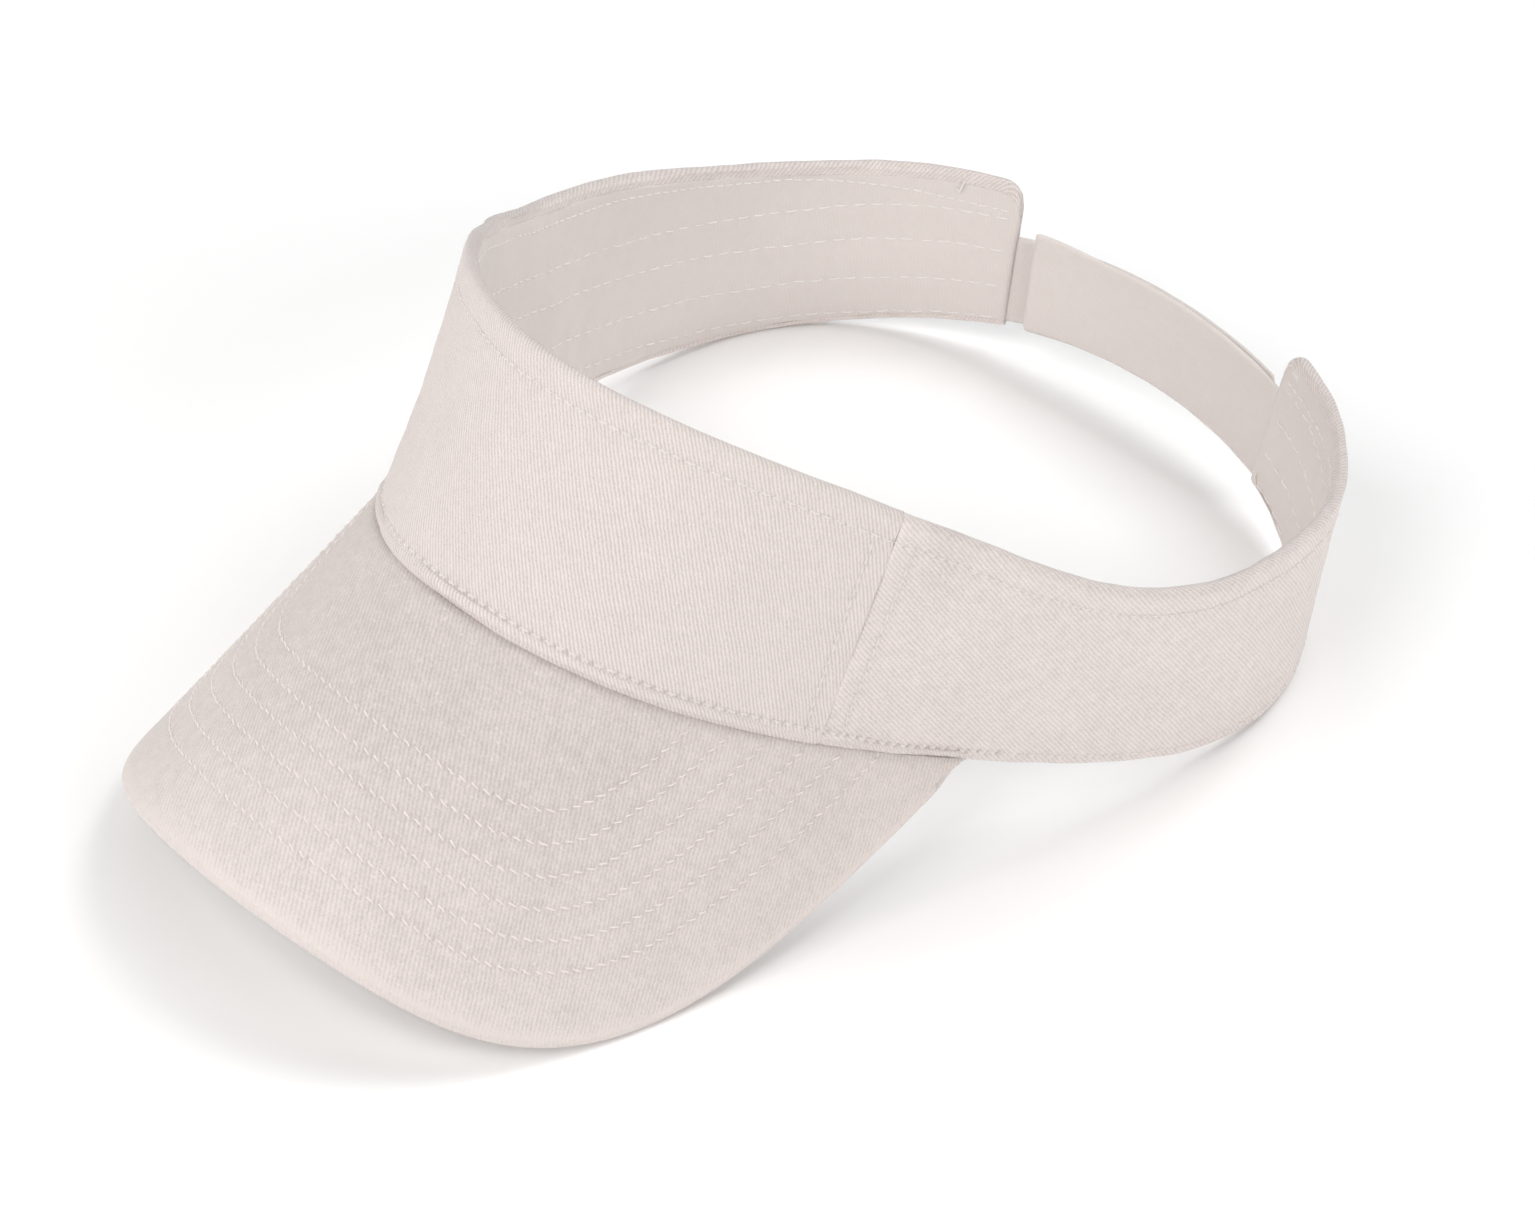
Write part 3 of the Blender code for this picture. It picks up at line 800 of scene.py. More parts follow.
# The row above the bill runs past the bill's corners, comes down to the bottom row's height, and
# pulls a deeper crease beside the bill's corners
PAST_CORNER_DEG = 3
ROW_COMES_DOWN_DEG = (48, 60)
CREASE_STARTS_DEG = (50, 56)
SIDES = (("left", 1), ("right", -1))


def sewing(pitch, stitch, radius, depth, pucker, hole):
    """Stitch pitch and length, thread radius, how deep a row pulls the cloth in and how high the
    folds beside it stand, in millimetres, and how much painted shade its needle holes get, a painted
    highlight below zero."""
    lengths = dict(pitch=pitch, stitch=stitch, radius=radius, depth=depth, pucker=pucker)
    return {name: length * MM for name, length in lengths.items()} | {"hole": hole}


SEWING = sewing(2.4, 1.9, 0.15, 0.17, 0.06, 0.22)
SEAM_SEWING = sewing(2.4, 1.8, 0.15, 0.26, 0.08, 0.5)
LONG_SEWING = sewing(3.8, 2.8, 0.16, 0.14, 0.04, 0.0)
INNER_SEWING = sewing(2.4, 1.9, 0.15, 0.12, 0.03, 0.0)
# The bill rows' needle holes get a faint painted highlight instead of painted shade
BILL_SEWING = sewing(2.4, 1.8, 0.16, 0.24, 0.12, -0.05)


def around(first, last, step=DENSE):
    return np.linspace(first, last, max(int(abs(last - first) / step), 2) + 1)


def degrees_per_metre(degree):
    return 1 / np.linalg.norm(BOTTOM_EDGE(degree + 0.5) - BOTTOM_EDGE(degree - 0.5))


def outer_rows():
    rows = {}
    end = BAND_END_DEG - END_STEP_DEG
    whole = around(-end, end)
    rows["rim"] = row_on_band(whole, band_height(whole) - RIM_ROW_DROP, BAND_HALF, **SEWING)
    past_corner = BILL_CORNER_DEG + PAST_CORNER_DEG
    front = around(-past_corner, past_corner)
    away = np.abs(front)
    heights = BILL_SEAM_ROW + (BOTTOM_ROW - BILL_SEAM_ROW) * smooth_step(*ROW_COMES_DOWN_DEG, away)
    crease = CREASE * smooth_step(*CREASE_STARTS_DEG, away)
    rows["bill_seam"] = row_on_band(front, heights, BAND_HALF, deeper=crease, **SEAM_SEWING)
    for side, sign in SIDES:
        back = sign * around(past_corner, end)
        rows[side + "_bottom"] = row_on_band(back, np.full(len(back), BOTTOM_ROW), BAND_HALF, **SEWING)
        for edge, step in (("front", -1), ("side", 1)):
            degree = sign * (PANEL_SEAM_DEG + step * SEAM_ROW_SIDE * degrees_per_metre(PANEL_SEAM_DEG))
            top = band_height(degree) - RIM_ROW_DROP - SEAM_ROW_CLEAR
            heights = np.linspace(BILL_SEAM_ROW + SEAM_ROW_CLEAR, top, SEAM_ROW_POINTS)
            upright = np.full(SEAM_ROW_POINTS, degree)
            rows[f"{side}_seam_{edge}"] = row_on_band(upright, heights, BAND_HALF, **SEWING)
    return rows


# The rows on the sweatband aren't quite level: each one's share of the band's height at two
# angles, and the inner rim row's distance below the rim, in millimetres, at these angles
SWEATBAND_ROW_DEG = (103, 143)
SWEATBAND_ROW_SHARES = ((0.107, 0.063), (0.285, 0.285), (0.497, 0.535), (0.667, 0.755))
INNER_RIM_ROW_DROPS = ((0, 5.6), (100, 5.4), (118, 4.4), (132, 3.4), (146, 5.4), (155, 7.6), (160, 6.0))
SMOOTHING_HALF = 40


def inner_rows():
    rows = {}
    end = BAND_END_DEG - END_STEP_DEG
    whole = around(-end, end)
    height = band_height(whole)
    angles, drops = zip(*INNER_RIM_ROW_DROPS)
    drop = np.interp(np.abs(whole), angles, drops) * MM
    window = 2 * SMOOTHING_HALF + 1
    drop = np.convolve(np.pad(drop, SMOOTHING_HALF, "edge"), np.ones(window) / window, "valid")
    rows["rim_inside"] = row_on_band(whole, height - drop, -BAND_HALF, **INNER_SEWING)
    for i, shares in enumerate(SWEATBAND_ROW_SHARES, 1):
        share = np.interp(np.abs(whole), SWEATBAND_ROW_DEG, shares)
        rows[f"lining_{i}"] = row_on_band(whole, share * height, -BAND_HALF, **LONG_SEWING)
    return rows


# How far over the hidden side of the cloth moves where the band's end is sewn shut: 1 would bring it
# to the middle of the thickness, 2 to the opposite side
FILLING = 1.8


def panel_sections(degrees, height, closed):
    """The outline of a panel with both long edges folded in, at each angle: heights, offsets, and
    which way the visible cloth faces, 1 outside, -1 inside, 0 hidden. closed is 1 where the band's
    end is sewn shut, so that the cloth fills the thickness there."""
    inside = BAND_HALF - CLOTH
    low, top = np.full(len(degrees), BAND_HALF), height - BAND_HALF
    fold = np.radians(np.linspace(0, 180, 11))
    wall = int(height.max() / CELL)
    parts = []

    def run(start, end, count, offset, facing):
        share = np.linspace(0, 1, count)[:, None]
        heights = start + (end - start) * share
        parts.append((heights, np.full_like(heights, offset), np.full(count, facing)))

    def turn(centre, radius, angles, sign, facing):
        heights = centre + sign * radius * np.sin(angles)[:, None]
        offsets = np.broadcast_to(radius * np.cos(angles)[:, None], heights.shape)
        parts.append((heights, offsets, np.full(len(angles), facing)))

    lip = np.full(len(degrees), BOTTOM_TURN_IN)
    run(lip, low, 4, -BAND_HALF, -1)
    turn(low, BAND_HALF, fold[::-1][1:-1], -1, 1)
    start_of_wall = sum(len(part[0]) for part in parts)
    run(low, top, wall, BAND_HALF, 1)
    turn(top, BAND_HALF, fold[1:-1], 1, 1)
    run(top, height - RIM_TURN_IN, 10, -BAND_HALF, -1)
    run(height - RIM_TURN_IN, top, 4, -inside, 0)
    turn(top, inside, fold[::-2][1:-1], 1, 0)
    run(top, low, 12, inside, 0)
    turn(low, inside, fold[::2][1:-1], -1, 0)
    run(low, lip, 3, -inside, 0)
    heights, offsets, facing = (np.concatenate(part).T for part in zip(*parts))
    filled = closed[:, None] * (facing == 0) * (offsets > 0)
    offsets = offsets * (1 - FILLING * filled)
    steps = np.hypot(np.diff(heights, axis=1), np.diff(offsets, axis=1))
    developed = np.concatenate([np.zeros((len(degrees), 1)), np.cumsum(steps, axis=1)], axis=1)
    developed += BAND_HALF - developed[:, start_of_wall : start_of_wall + 1]
    return heights, offsets, facing, developed


CORNER_RADIUS = 5.0 * MM


def ends_of_cloth(degrees, rounded_end):
    """The distance of each angle from the panel seam and from the band's end, in metres."""
    seam = np.abs(np.abs(degrees) - PANEL_SEAM_DEG) / degrees_per_metre(PANEL_SEAM_DEG)
    end = (BAND_END_DEG - np.abs(degrees)) / degrees_per_metre(BAND_END_DEG)
    return seam, np.maximum(end, 0) if rounded_end else np.full(len(degrees), 1.0)


def round_corner(distance, radius):
    """How much lower a rounded corner is, at a distance from the end."""
    left = np.clip(radius - distance, 0, radius)
    return radius - np.sqrt(radius**2 - left**2)


def band_cloth(first, last, rounded_end):
    """Angles about a cell apart, the band's height there with its end corners rounded, how far each
    is from the panel seam and from the band's end, and where the cloth's lower edge lies and its
    upward direction points when it is laid out flat."""
    count = int(abs(last - first) / (CELL * degrees_per_metre(90.0))) + 2
    degrees = np.linspace(first, last, count)
    bottom, rise, height = band_lines(degrees)
    low, high = flat_pattern(bottom, bottom + rise * height[:, None])
    seam, end = ends_of_cloth(degrees, rounded_end)
    return degrees, height - round_corner(end, CORNER_RADIUS), seam, end, low, unit(high - low)


END_THINNING = 0.75
SEAM_GROOVE = 0.1 * MM
# How far the cloth swells between the rim and its row, and between the panel seam and its rows
RIM_PUFF = 0.16 * MM
SEAM_PUFF = 0.14 * MM
# A shallow hollow in each side panel behind the panel seam: where, how wide, how deep
HOLLOW_FROM_SEAM = 11.0 * MM
HOLLOW_WIDTH = 4.5 * MM
HOLLOW_DEPTH = 0.4 * MM
# Painted light and shade on the panels: shade in the hollow, a highlight beside the panel seam, shade along
# the rim fold, a highlight along the inner bottom fold
HOLLOW_PAINTED_SHADE = 0.12
SEAM_PAINTED_HIGHLIGHT = -0.2
RIM_PAINTED_SHADE = 0.3
HEM_EDGE_PAINTED_HIGHLIGHT = -0.4


def thinned(end):
    """The share of its thickness that the band has at a distance from its end."""
    return np.sqrt(1 - np.clip(1 - end / BAND_HALF, 0, END_THINNING) ** 2)[:, None]


def make_panel(name, node, first, last, rows, material, slot, seed, rounded_end):
    degrees, height, seam, end, low, up = band_cloth(first, last, rounded_end)
    seam = seam[:, None]
    closed = smooth_step(-1.2 * MM, -0.5 * MM, -end)
    heights, offsets, facing, developed = panel_sections(degrees, height, closed)
    flat = low[:, None] + up[:, None] * developed[..., None]
    middle, out = band_frame(degrees[:, None], heights)
    base = middle + out * offsets[..., None]
    drop = height[:, None] - heights
    relief = swells(flat, seed, (0.22, 34), (0.07, 8))
    relief = relief + RIM_PUFF * bell(drop - 0.5 * RIM_ROW_DROP, 1.7 * MM)
    relief = relief + SEAM_PUFF * bell(seam - 0.5 * SEAM_ROW_SIDE, 1.2 * MM)
    relief = relief - SEAM_GROOVE * bell(seam, 0.4 * MM)
    bent = np.zeros(heights.shape)
    # A painted highlight on the groove walls at the panel seam
    shade = SEAM_PAINTED_HIGHLIGHT * bell(seam, 0.5 * MM) * np.ones(heights.shape)
    if rounded_end:
        hollow = bell(seam - HOLLOW_FROM_SEAM, HOLLOW_WIDTH) * (0.3 + 0.7 * bell(drop, 15 * MM))
        bent = -HOLLOW_DEPTH * hollow * smooth_step(0, 0.5 * MM, offsets)
        # Painted shade in the hollow
        shade = shade + HOLLOW_PAINTED_SHADE * hollow * (offsets > 0)
    near_end = smooth_step(0, 6 * MM, end)[:, None]
    relief = np.where(facing == 1, relief, 0.3 * relief) * near_end
    moved, holes = pulled(base, rows)
    relief = relief + moved
    # Painted shade at the needle holes and along the rim fold
    shade = shade + holes + RIM_PAINTED_SHADE * bell(drop, 0.9 * MM)
    # A painted highlight along the inner bottom fold
    shade = shade + HEM_EDGE_PAINTED_HIGHLIGHT * bell(heights, 0.8 * MM) * (offsets < 0)
    place = middle + out * (offsets * thinned(end) + relief * facing + bent)[..., None]
    faces = ring_faces(len(degrees), heights.shape[1])
    piece = new_piece(name, place, faces, flat, material, "band", shade)
    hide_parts(node)
    declare_cut(flat[:, facing != 0])
    return piece


def make_sweatband(rows):
    degrees, full, _, end, edge, up = band_cloth(-BAND_END_DEG, BAND_END_DEG, True)
    low = np.full(len(degrees), BOTTOM_TURN_IN - LINING_LAP)
    high = full - RIM_TURN_IN + LINING_LAP
    wall = int(high.max() / CELL)
    share = np.concatenate([np.linspace(0, 1, wall), np.linspace(1, 0, 10)])
    heights = (low + (high - low) * share[:, None]).T
    facing = np.where(np.arange(len(share)) < wall, 1.0, 0.0)
    offsets = np.where(facing == 1, -BAND_HALF - LINING_PROUD, CLOTH - BAND_HALF)
    rounding = 0.3 * MM * (bell(heights - low[:, None], 0.35 * MM) + bell(high[:, None] - heights, 0.35 * MM))
    flat = edge[:, None] + up[:, None] * heights[..., None]
    middle, out = band_frame(degrees[:, None], heights)
    moved, holes = pulled(middle + out * offsets[:, None], rows)
    puff = swells(flat, 31, (0.16, 24), (0.07, 8))
    relief = puff * smooth_step(0, 6 * MM, end)[:, None] + moved
    place = middle + out * (offsets * thinned(end) + (rounding - relief) * facing)[..., None]
    faces = ring_faces(len(degrees), heights.shape[1])
    piece = new_piece("sweatband_cloth", place, faces, flat, LINING_TWILL, "band", holes)
    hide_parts("sweatband")
    declare_cut(flat[:, facing == 1])
    return piece


def loose_thread(name, stations, radius):
    """A thread that lies on the inner side of the band: angle, height and lift in millimetres."""
    places = np.array(stations, float)
    steps = np.linspace(0, len(places) - 1, 8 * len(places))
    angle, height, lift = between_points(steps, np.arange(len(places)), places).T
    middle, out = band_frame(angle, height * MM)
    centre = middle - out * (BAND_HALF + lift * MM)[:, None]
    points, flat = tube(centre, out, np.full(len(centre), radius), np.linspace(0, 3 * MM, len(centre)))
    piece = new_piece(name, points, ring_faces(len(centre), THREAD_SIDES), flat, INNER_THREAD, "band")


# Angle, height and lift in millimetres of the stray ends of thread on the inner side
THREAD_BIT = ((-152.9, 34.9, 0.1), (-152.5, 33.2, 0.5), (-152.3, 32.0, 0.3), (-152.0, 32.6, 0.1))
BARTACK = (
    (157.2, 30.8, 0.1), (157.4, 32.0, 0.15), (157.6, 30.8, 0.1), (157.8, 32.0, 0.15),
    (158.0, 30.8, 0.1), (158.2, 32.0, 0.15), (158.4, 30.8, 0.1),
)
THREAD_END = ((159.2, 4.2, 0.1), (159.0, 3.2, 0.5), (158.6, 2.2, 0.4), (158.5, 1.6, 0.2))
# How far each panel runs into its neighbour at the seam
PANEL_OVERLAP_DEG = 0.02


def make_band():
    outer, inner = outer_rows(), inner_rows()
    front_rows = [outer[row] for row in ("rim", "bill_seam", "left_seam_front", "right_seam_front")]
    edge = PANEL_SEAM_DEG + PANEL_OVERLAP_DEG
    front = make_panel(
        "front_cloth", "front_panel", -edge, edge, front_rows, FRONT_TWILL, "front_twill", 3, False
    )
    cloths = [tree_of(front)]
    stands_for = {"rim": "rim_topstitch", "bill_seam": "bill_seam_topstitch"}
    for (side, sign), seed in zip(SIDES, (5, 8)):
        rows = [outer[row] for row in ("rim", "bill_seam", side + "_bottom", side + "_seam_side")]
        ends = (sign * (PANEL_SEAM_DEG - PANEL_OVERLAP_DEG), sign * BAND_END_DEG)
        name, node = f"{side}_side_cloth", f"{side}_side_panel"
        cloths.append(tree_of(make_panel(name, node, *ends, rows, SIDE_TWILL, "side_twill", seed, True)))
        stands_for[side + "_bottom"] = side + "_bottom_topstitch"
        for edge in ("front", "side"):
            stands_for[f"{side}_seam_{edge}"] = f"{side}_seam_topstitch_{edge}"
    cloths.append(tree_of(make_sweatband(list(inner.values()))))
    for i in range(1, len(inner)):
        stands_for[f"lining_{i}"] = f"sweatband_stitch_row_{i}"
    for seed, (name, row) in enumerate({**outer, **inner}.items(), 100):
        nodes = (stands_for[name],) if name in stands_for else ()
        material = THREAD if name in outer else INNER_THREAD
        thread_piece(name + "_thread", row, cloths, material, seed, stands_for=nodes)
    loose_thread("thread_bit", THREAD_BIT, 0.17 * MM)
    loose_thread("bartack_thread", BARTACK, 0.15 * MM)
    loose_thread("thread_end", THREAD_END, 0.15 * MM)


# The bill


# How far a bill stitch's end lies beside its row, in thread radii
BILL_SKEW = 1.8
# The cover's stations across the bill, its steps down to the free edge and round it, how far across
# it reaches, and how far down it starts: tucked into the seam, then at the seam
COVER_STATIONS = 460
COVER_STEPS = 96
NOSE_STEPS = 8
COVER_REACH = 0.998
COVER_TUCKED = -0.01
COVER_SEAM = 0.006
# The share across where the cover thins at the bill's corners, by how much, and where it closes
TIP_THINS = (0.982, 0.997)
TIP_THINNING = 0.65
TIP_CLOSES = (0.985, 0.996)
SEAM_DIP = 0.2 * MM
SEAM_DIP_REACH = 1.5 * MM
# Painted light and shade on the bill: a highlight on the rolled edge and underside, shade in the crease at
# the seam, a highlight near the free edge
BILL_NOSE_PAINTED_HIGHLIGHT = -0.3
CREASE_PAINTED_SHADE = 0.3
FREE_EDGE_PAINTED_HIGHLIGHT = 0.12
# Painted shade over the middle of the bill: place across and down, reach across and down, and how dark
BILL_PAINTED_SHADE = (0.1, 0.3, 0.36, 0.42, 0.24)


def bill_thickness(across):
    """The share of its full thickness that the bill has: it thins out where its corners are sewn in."""
    return 0.75 + 0.25 * smooth_step(0.0, 0.03, 1 - np.abs(across))


def row_inset(row, across):
    """The inset of a row from the free edge, at each across. It grows towards the bill's corners."""
    start, end = BILL_DRIFT_START - BILL_DRIFT_EARLIER * row, BILL_DRIFT_END - BILL_DRIFT_EARLIER * row
    drift = BILL_ROW_DRIFT + BILL_ROW_DRIFT_STEP * row
    return BILL_FIRST_ROW + BILL_ROW_PITCH * row + drift * smooth_step(start, end, np.abs(across))


def bill_rows():
    rows = []
    seam_share = 0.03
    for i in range(BILL_ROWS):
        reach = bill_reach(lambda at: row_inset(i, at), seam_share)
        across = reach * np.sin(np.linspace(-np.pi / 2, np.pi / 2, 501))
        down = inset_from_edge(across, row_inset(i, across), seam_share)
        middle, up = bill_frame(across, down)
        lift = COVER_LIFT * bill_thickness(across)[:, None]
        rows.append(Row(middle + up * lift, up, **BILL_SEWING))
    return rows


def bill_cover(name, side, rows, material, nodes, seed):
    """The cover on one side of the bill, 1 above and -1 below, round to the middle of the edge."""
    across = np.linspace(-COVER_REACH, COVER_REACH, COVER_STATIONS)
    down = np.concatenate([[COVER_TUCKED], np.linspace(COVER_SEAM, 1, COVER_STEPS - 1)])
    middle, up = bill_frame(across[:, None], down)
    thick = bill_thickness(across)
    seam, edge = bill_seam(across), bill_edge(across)
    low, high = (place[:, None] for place in flat_pattern(edge, seam))
    flat = low + (high - low) * (1 - down)[:, None]
    edge_up = bill_frame(across, 1)[1]
    outward = unit(np.cross(edge_up, unit(np.gradient(edge, axis=0))))
    outward *= np.sign((outward * (edge - seam)).sum(axis=1))[:, None]
    lift = COVER_LIFT * thick * (1 - TIP_THINNING * smooth_step(*TIP_THINS, np.abs(across)))
    base = middle + up * (side * lift)[:, None, None]
    swell = swells(flat, seed, (0.10, 26), (0.04, 7)) * smooth_step(0, 0.1, 1 - down)
    moved, holes = pulled(base, rows)
    from_seam = down * np.linalg.norm(edge - seam, axis=1)[:, None]
    relief = swell + moved - SEAM_DIP * thick[:, None] * bell(from_seam, SEAM_DIP_REACH)
    relief[:, 0] = -0.8 * lift
    top = base + up * (side * relief)[..., None]
    turns = np.linspace(0, np.pi / 2, NOSE_STEPS + 1)[1:]
    bulge = outward[:, None] * np.sin(turns)[:, None] + side * edge_up[:, None] * np.cos(turns)[:, None]
    rounded = edge[:, None] + bulge * lift[:, None, None]
    flat_nose = low - unit(high - low) * (turns * COVER_LIFT)[:, None]
    closed = smooth_step(*TIP_CLOSES, np.abs(across))
    inner_lift = ((lift - COVER_CLOTH * thick) * (1 - closed))[:, None, None]
    under_down = np.linspace(1, COVER_SEAM, 14)
    under, under_up = bill_frame(across[:, None], under_down)
    nose_inside = edge[:, None] + bulge[:, ::-1] * inner_lift
    under = under + under_up * side * inner_lift
    flat_under = low + (high - low) * (1 - under_down)[:, None]
    points = np.concatenate([top, rounded, nose_inside, under], axis=1)
    flats = np.concatenate([flat, flat_nose, flat_nose[:, ::-1], flat_under], axis=1)
    faces = ring_faces(COVER_STATIONS, points.shape[1])
    if side > 0:
        faces = [face[::-1] for face in faces]
    place, deepest, wide, long, dark = BILL_PAINTED_SHADE
    to_edge = np.linalg.norm(edge[:, None] - middle, axis=-1)
    # A painted highlight near the free edge, wider and stronger on the bill's left side
    left_side = smooth_step(0.3, 0.9, -across)[:, None]
    wear_and_painted_highlight = FREE_EDGE_PAINTED_HIGHLIGHT * (1 + left_side) * bell(to_edge, 4 * MM * (1 + 0.5 * left_side))
    # A painted highlight on the rolled edge and underside and along the top near the free edge, and painted
    # shade at the needle holes
    shade = np.full(points.shape[:2], BILL_NOSE_PAINTED_HIGHLIGHT)
    shade[:, :COVER_STEPS] = holes + BILL_NOSE_PAINTED_HIGHLIGHT * bell(to_edge, 0.8 * MM)
    # Painted shade over the middle of the bill
    shade[:, :COVER_STEPS] += dark * bell(across[:, None] - place, wide) * bell(down - deepest, long)
    # Painted shade in the crease at the seam, less the painted highlight near the free edge
    shade[:, :COVER_STEPS] += CREASE_PAINTED_SHADE * bell(from_seam, 1.3 * MM) - wear_and_painted_highlight
    piece = new_piece(name, points, faces, flats, material, "band", shade)
    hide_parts(*nodes)
    declare_cut(flats[:, : COVER_STEPS + NOSE_STEPS])
    return piece


# The outline of the front panel's hem above the bill: height above the band's bottom edge and
# distance from the middle of its thickness, in millimetres
HEM_OUTLINE = (
    (3.3, 1.0), (2.95, 1.45), (2.5, 1.75), (2.0, 1.85), (1.55, 1.75),
    (1.3, 1.5), (1.3, 1.15), (1.5, 0.6), (3.1, 0.6),
)
HEM_ROOT = 0.6 * MM
HEM_END_DEG = BILL_CORNER_DEG + 4.5
HEM_LIFT_AT_ENDS = 1.0 * MM
HEM_NARROWS_DEG = (36, 52)
HEM_NARROWING = 0.45


def make_bill_seam_roll():
    """The rolled hem of the front panel that lies in the crease above the bill."""
    degrees = around(-HEM_END_DEG, HEM_END_DEG, 0.4)
    outline = np.array(HEM_OUTLINE) * MM
    for _ in range(2):
        after = np.roll(outline, -1, axis=0)
        outline = np.stack([0.75 * outline + 0.25 * after, 0.25 * outline + 0.75 * after], axis=1)
        outline = outline.reshape(-1, 2)
    away = np.abs(degrees)
    narrow = 1 - HEM_NARROWING * smooth_step(*HEM_NARROWS_DEG, away)
    narrow = narrow - HEM_NARROWING * smooth_step(BILL_CORNER_DEG - 3, HEM_END_DEG, away)
    heights = outline[:, 0] * narrow[:, None] + HEM_LIFT_AT_ENDS * (1 - narrow[:, None])
    offsets = HEM_ROOT + (outline[:, 1] - HEM_ROOT) * (0.3 + 0.7 * narrow[:, None])
    middle, out = band_frame(degrees[:, None], heights)
    arc = lengths_along(BOTTOM_EDGE(degrees))
    round_it = np.cumsum(np.linalg.norm(np.diff(outline, axis=0, append=outline[:1]), axis=1))
    flat = np.stack(np.broadcast_arrays(arc[:, None], -round_it), axis=-1)
    swell = swells(flat, 41, (0.08, 8)) * (outline[:, 1] > BAND_HALF)
    place = middle + out * (offsets + swell)[..., None]
    faces = ring_faces(len(degrees), len(outline))
    piece = new_piece("bill_seam_roll", place, faces, flat, FRONT_TWILL, "band")
    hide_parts("bill_seam_welt")


def make_bill():
    rows = bill_rows()
    top = bill_cover("bill_top_cloth", 1, rows, BILL_TWILL, ("bill_top_cover", "bill_edge_roll"), 51)
    bill_cover("bill_under_cloth", -1, rows, BILL_TWILL, ("bill_under_cover",), 61)
    make_bill_seam_roll()
    cloth = tree_of(top)
    for i, row in enumerate(rows, 1):
        name = f"bill_row_{i}_thread"
        nodes = (f"bill_stitch_row_{i}",)
        thread_piece(name, row, [cloth], BILL_THREAD, 200 + i, skew=BILL_SKEW, stands_for=nodes)


# The closure


STRAP_TUCK = 3.0 * MM
# Radii of the lower and upper corners at a free end
INNER_STRAP_CORNERS = (1.2 * MM, 0.3 * MM)
OUTER_STRAP_CORNERS = (1.2 * MM, 1.2 * MM)
TAPE_CORNERS = (0.5 * MM, 0.5 * MM)
# A painted highlight along the lower edge of each strap and tape
STRAP_EDGE_PAINTED_HIGHLIGHT = -0.5


def make_strap_layer(name, ends, side, faces_at, edges_at, material, corners):
    """A strap or a tape, between two angles and two offsets from the strap's own middle. corners
    are the radii of its lower and upper corners at the free end."""
    first, last = ends
    inner, outer = faces_at
    count = int((last - first) * 2.5) + 2
    degrees = np.linspace(first, last, count)
    span = 360 - 2 * BAND_END_DEG
    crossed = np.clip((degrees - BAND_END_DEG) / span, 0, 1)
    shift = STRAP_PITCH * ((1 - crossed) if side > 0 else -crossed) - STRAP_SAG * np.sin(np.pi * crossed)
    metres = lengths_along(BOTTOM_EDGE(degrees))
    free = metres if side > 0 else metres[-1] - metres
    low, high = edges_at(degrees)
    low = low + round_corner(free, corners[0])
    high = high - round_corner(free, corners[1])
    rows = int((high - low).max() / (0.9 * MM))
    share = np.linspace(0, 1, rows)
    up = low[:, None] + (high - low)[:, None] * share
    heights = np.concatenate([up, up[:, ::-1]], axis=1)
    edge = 1 - 0.5 * bell(np.minimum(share, 1 - share), 0.02)
    tip = np.sqrt(1 - np.clip(1 - free / STRAP, 0, 0.8) ** 2)[:, None]
    centre, thick = (inner + outer) / 2, (outer - inner) / 2
    across = centre + thick * tip * np.concatenate([-edge, edge[::-1]])
    offsets = shift[:, None] + across
    flat = np.stack(np.broadcast_arrays(metres[:, None], heights), axis=-1)
    middle, out = band_frame(degrees[:, None], heights)
    place = middle + out * (offsets + swells(flat, 71, (0.08, 12)))[..., None]
    faces = ring_faces(count, heights.shape[1])
    # A painted highlight along the lower edge
    shade = STRAP_EDGE_PAINTED_HIGHLIGHT * bell(heights - low[:, None], 0.4 * MM)
    piece = new_piece(name, place, faces, flat, material, None, shade)
    declare_cut(flat[:, :rows])
    return piece


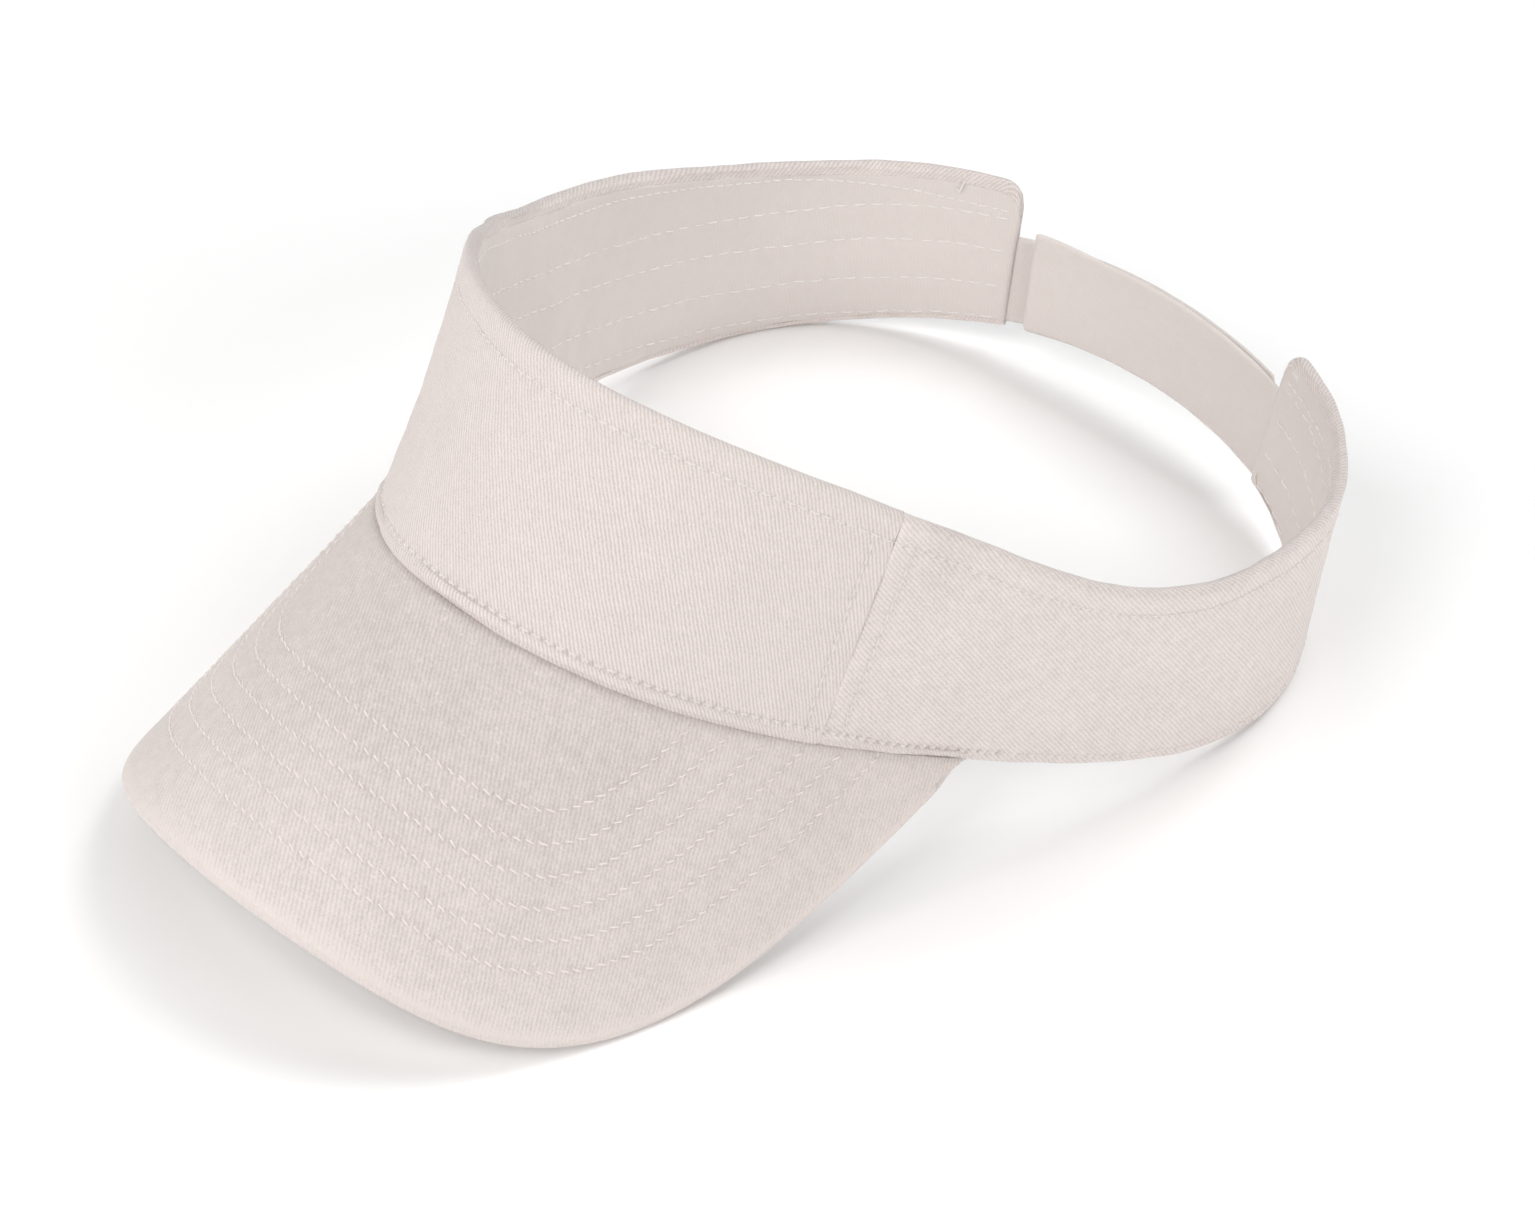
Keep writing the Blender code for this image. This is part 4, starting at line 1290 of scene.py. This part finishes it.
def make_closure():
    per_metre = degrees_per_metre(BAND_END_DEG)
    tucked, free_gap, margin = np.array((STRAP_TUCK, STRAP_END_GAP, TAPE_END_MARGIN)) * per_metre
    left, right = BAND_END_DEG, 360 - BAND_END_DEG
    half, face = STRAP / 2, STRAP / 2 + TAPE_GAP
    bend = 2.0 * per_metre * MM
    point_start = right - free_gap - INNER_POINT_LENGTH * per_metre

    def level(low, height):
        return lambda degrees: (np.full(len(degrees), low), np.full(len(degrees), low + height))

    def inner_edges(degrees):
        low, high = level(STRAP_LOW, INNER_STRAP_HEIGHT)(degrees)
        along = np.clip(degrees - point_start, 0, None) / (right - free_gap - point_start)
        return low, high + INNER_POINT_RISE * along

    outer_edges = level(STRAP_LOW, OUTER_STRAP_HEIGHT)
    tape_edges = level(STRAP_LOW + (OUTER_STRAP_HEIGHT - TAPE_HEIGHT) / 2, TAPE_HEIGHT)
    tape_ends = (left + margin, right - margin)
    inner_ends, outer_ends = (left - tucked, right - free_gap), (left + free_gap, right + tucked)
    straps = (
        ("inner_strap", inner_ends, inner_edges, INNER_STRAP_CORNERS, "hook", HOOKS),
        ("outer_strap", outer_ends, outer_edges, OUTER_STRAP_CORNERS, "loop", LOOPS),
    )
    for name, ends, edges_at, corners, kind, look in straps:
        side, root = (-1, left) if name == "inner_strap" else (1, right)
        strap = make_strap_layer(name + "_cloth", ends, side, (-half, half), edges_at, STRAP_TWILL, corners)
        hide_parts(name)
        start = band_frame(root + side * bend * 0.5, INNER_STRAP_HEIGHT / 2)[0]
        end = band_frame(root - side * bend * 1.5, INNER_STRAP_HEIGHT / 2)[0]
        tuple(start)
        tuple(end)
        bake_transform(strap)
        faces = (face, face + TAPE) if side < 0 else (-face - TAPE, -face)
        nap = make_strap_layer(kind + "_tape_nap", tape_ends, side, faces, tape_edges, look, TAPE_CORNERS)
        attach(nap, name)
        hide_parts(kind + "_tape")


def finish_inner_layers():
    """The stiffening layers keep their CAD shape and get their own materials."""
    for node in ("front_buckram", "left_side_interlining", "right_side_interlining"):
        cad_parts[node].data.materials[0] = INTERLINING
    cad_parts["bill_board"].data.materials[0] = BOARD


make_camera()
make_stage()
make_band()
make_bill()
make_closure()
finish_inner_layers()
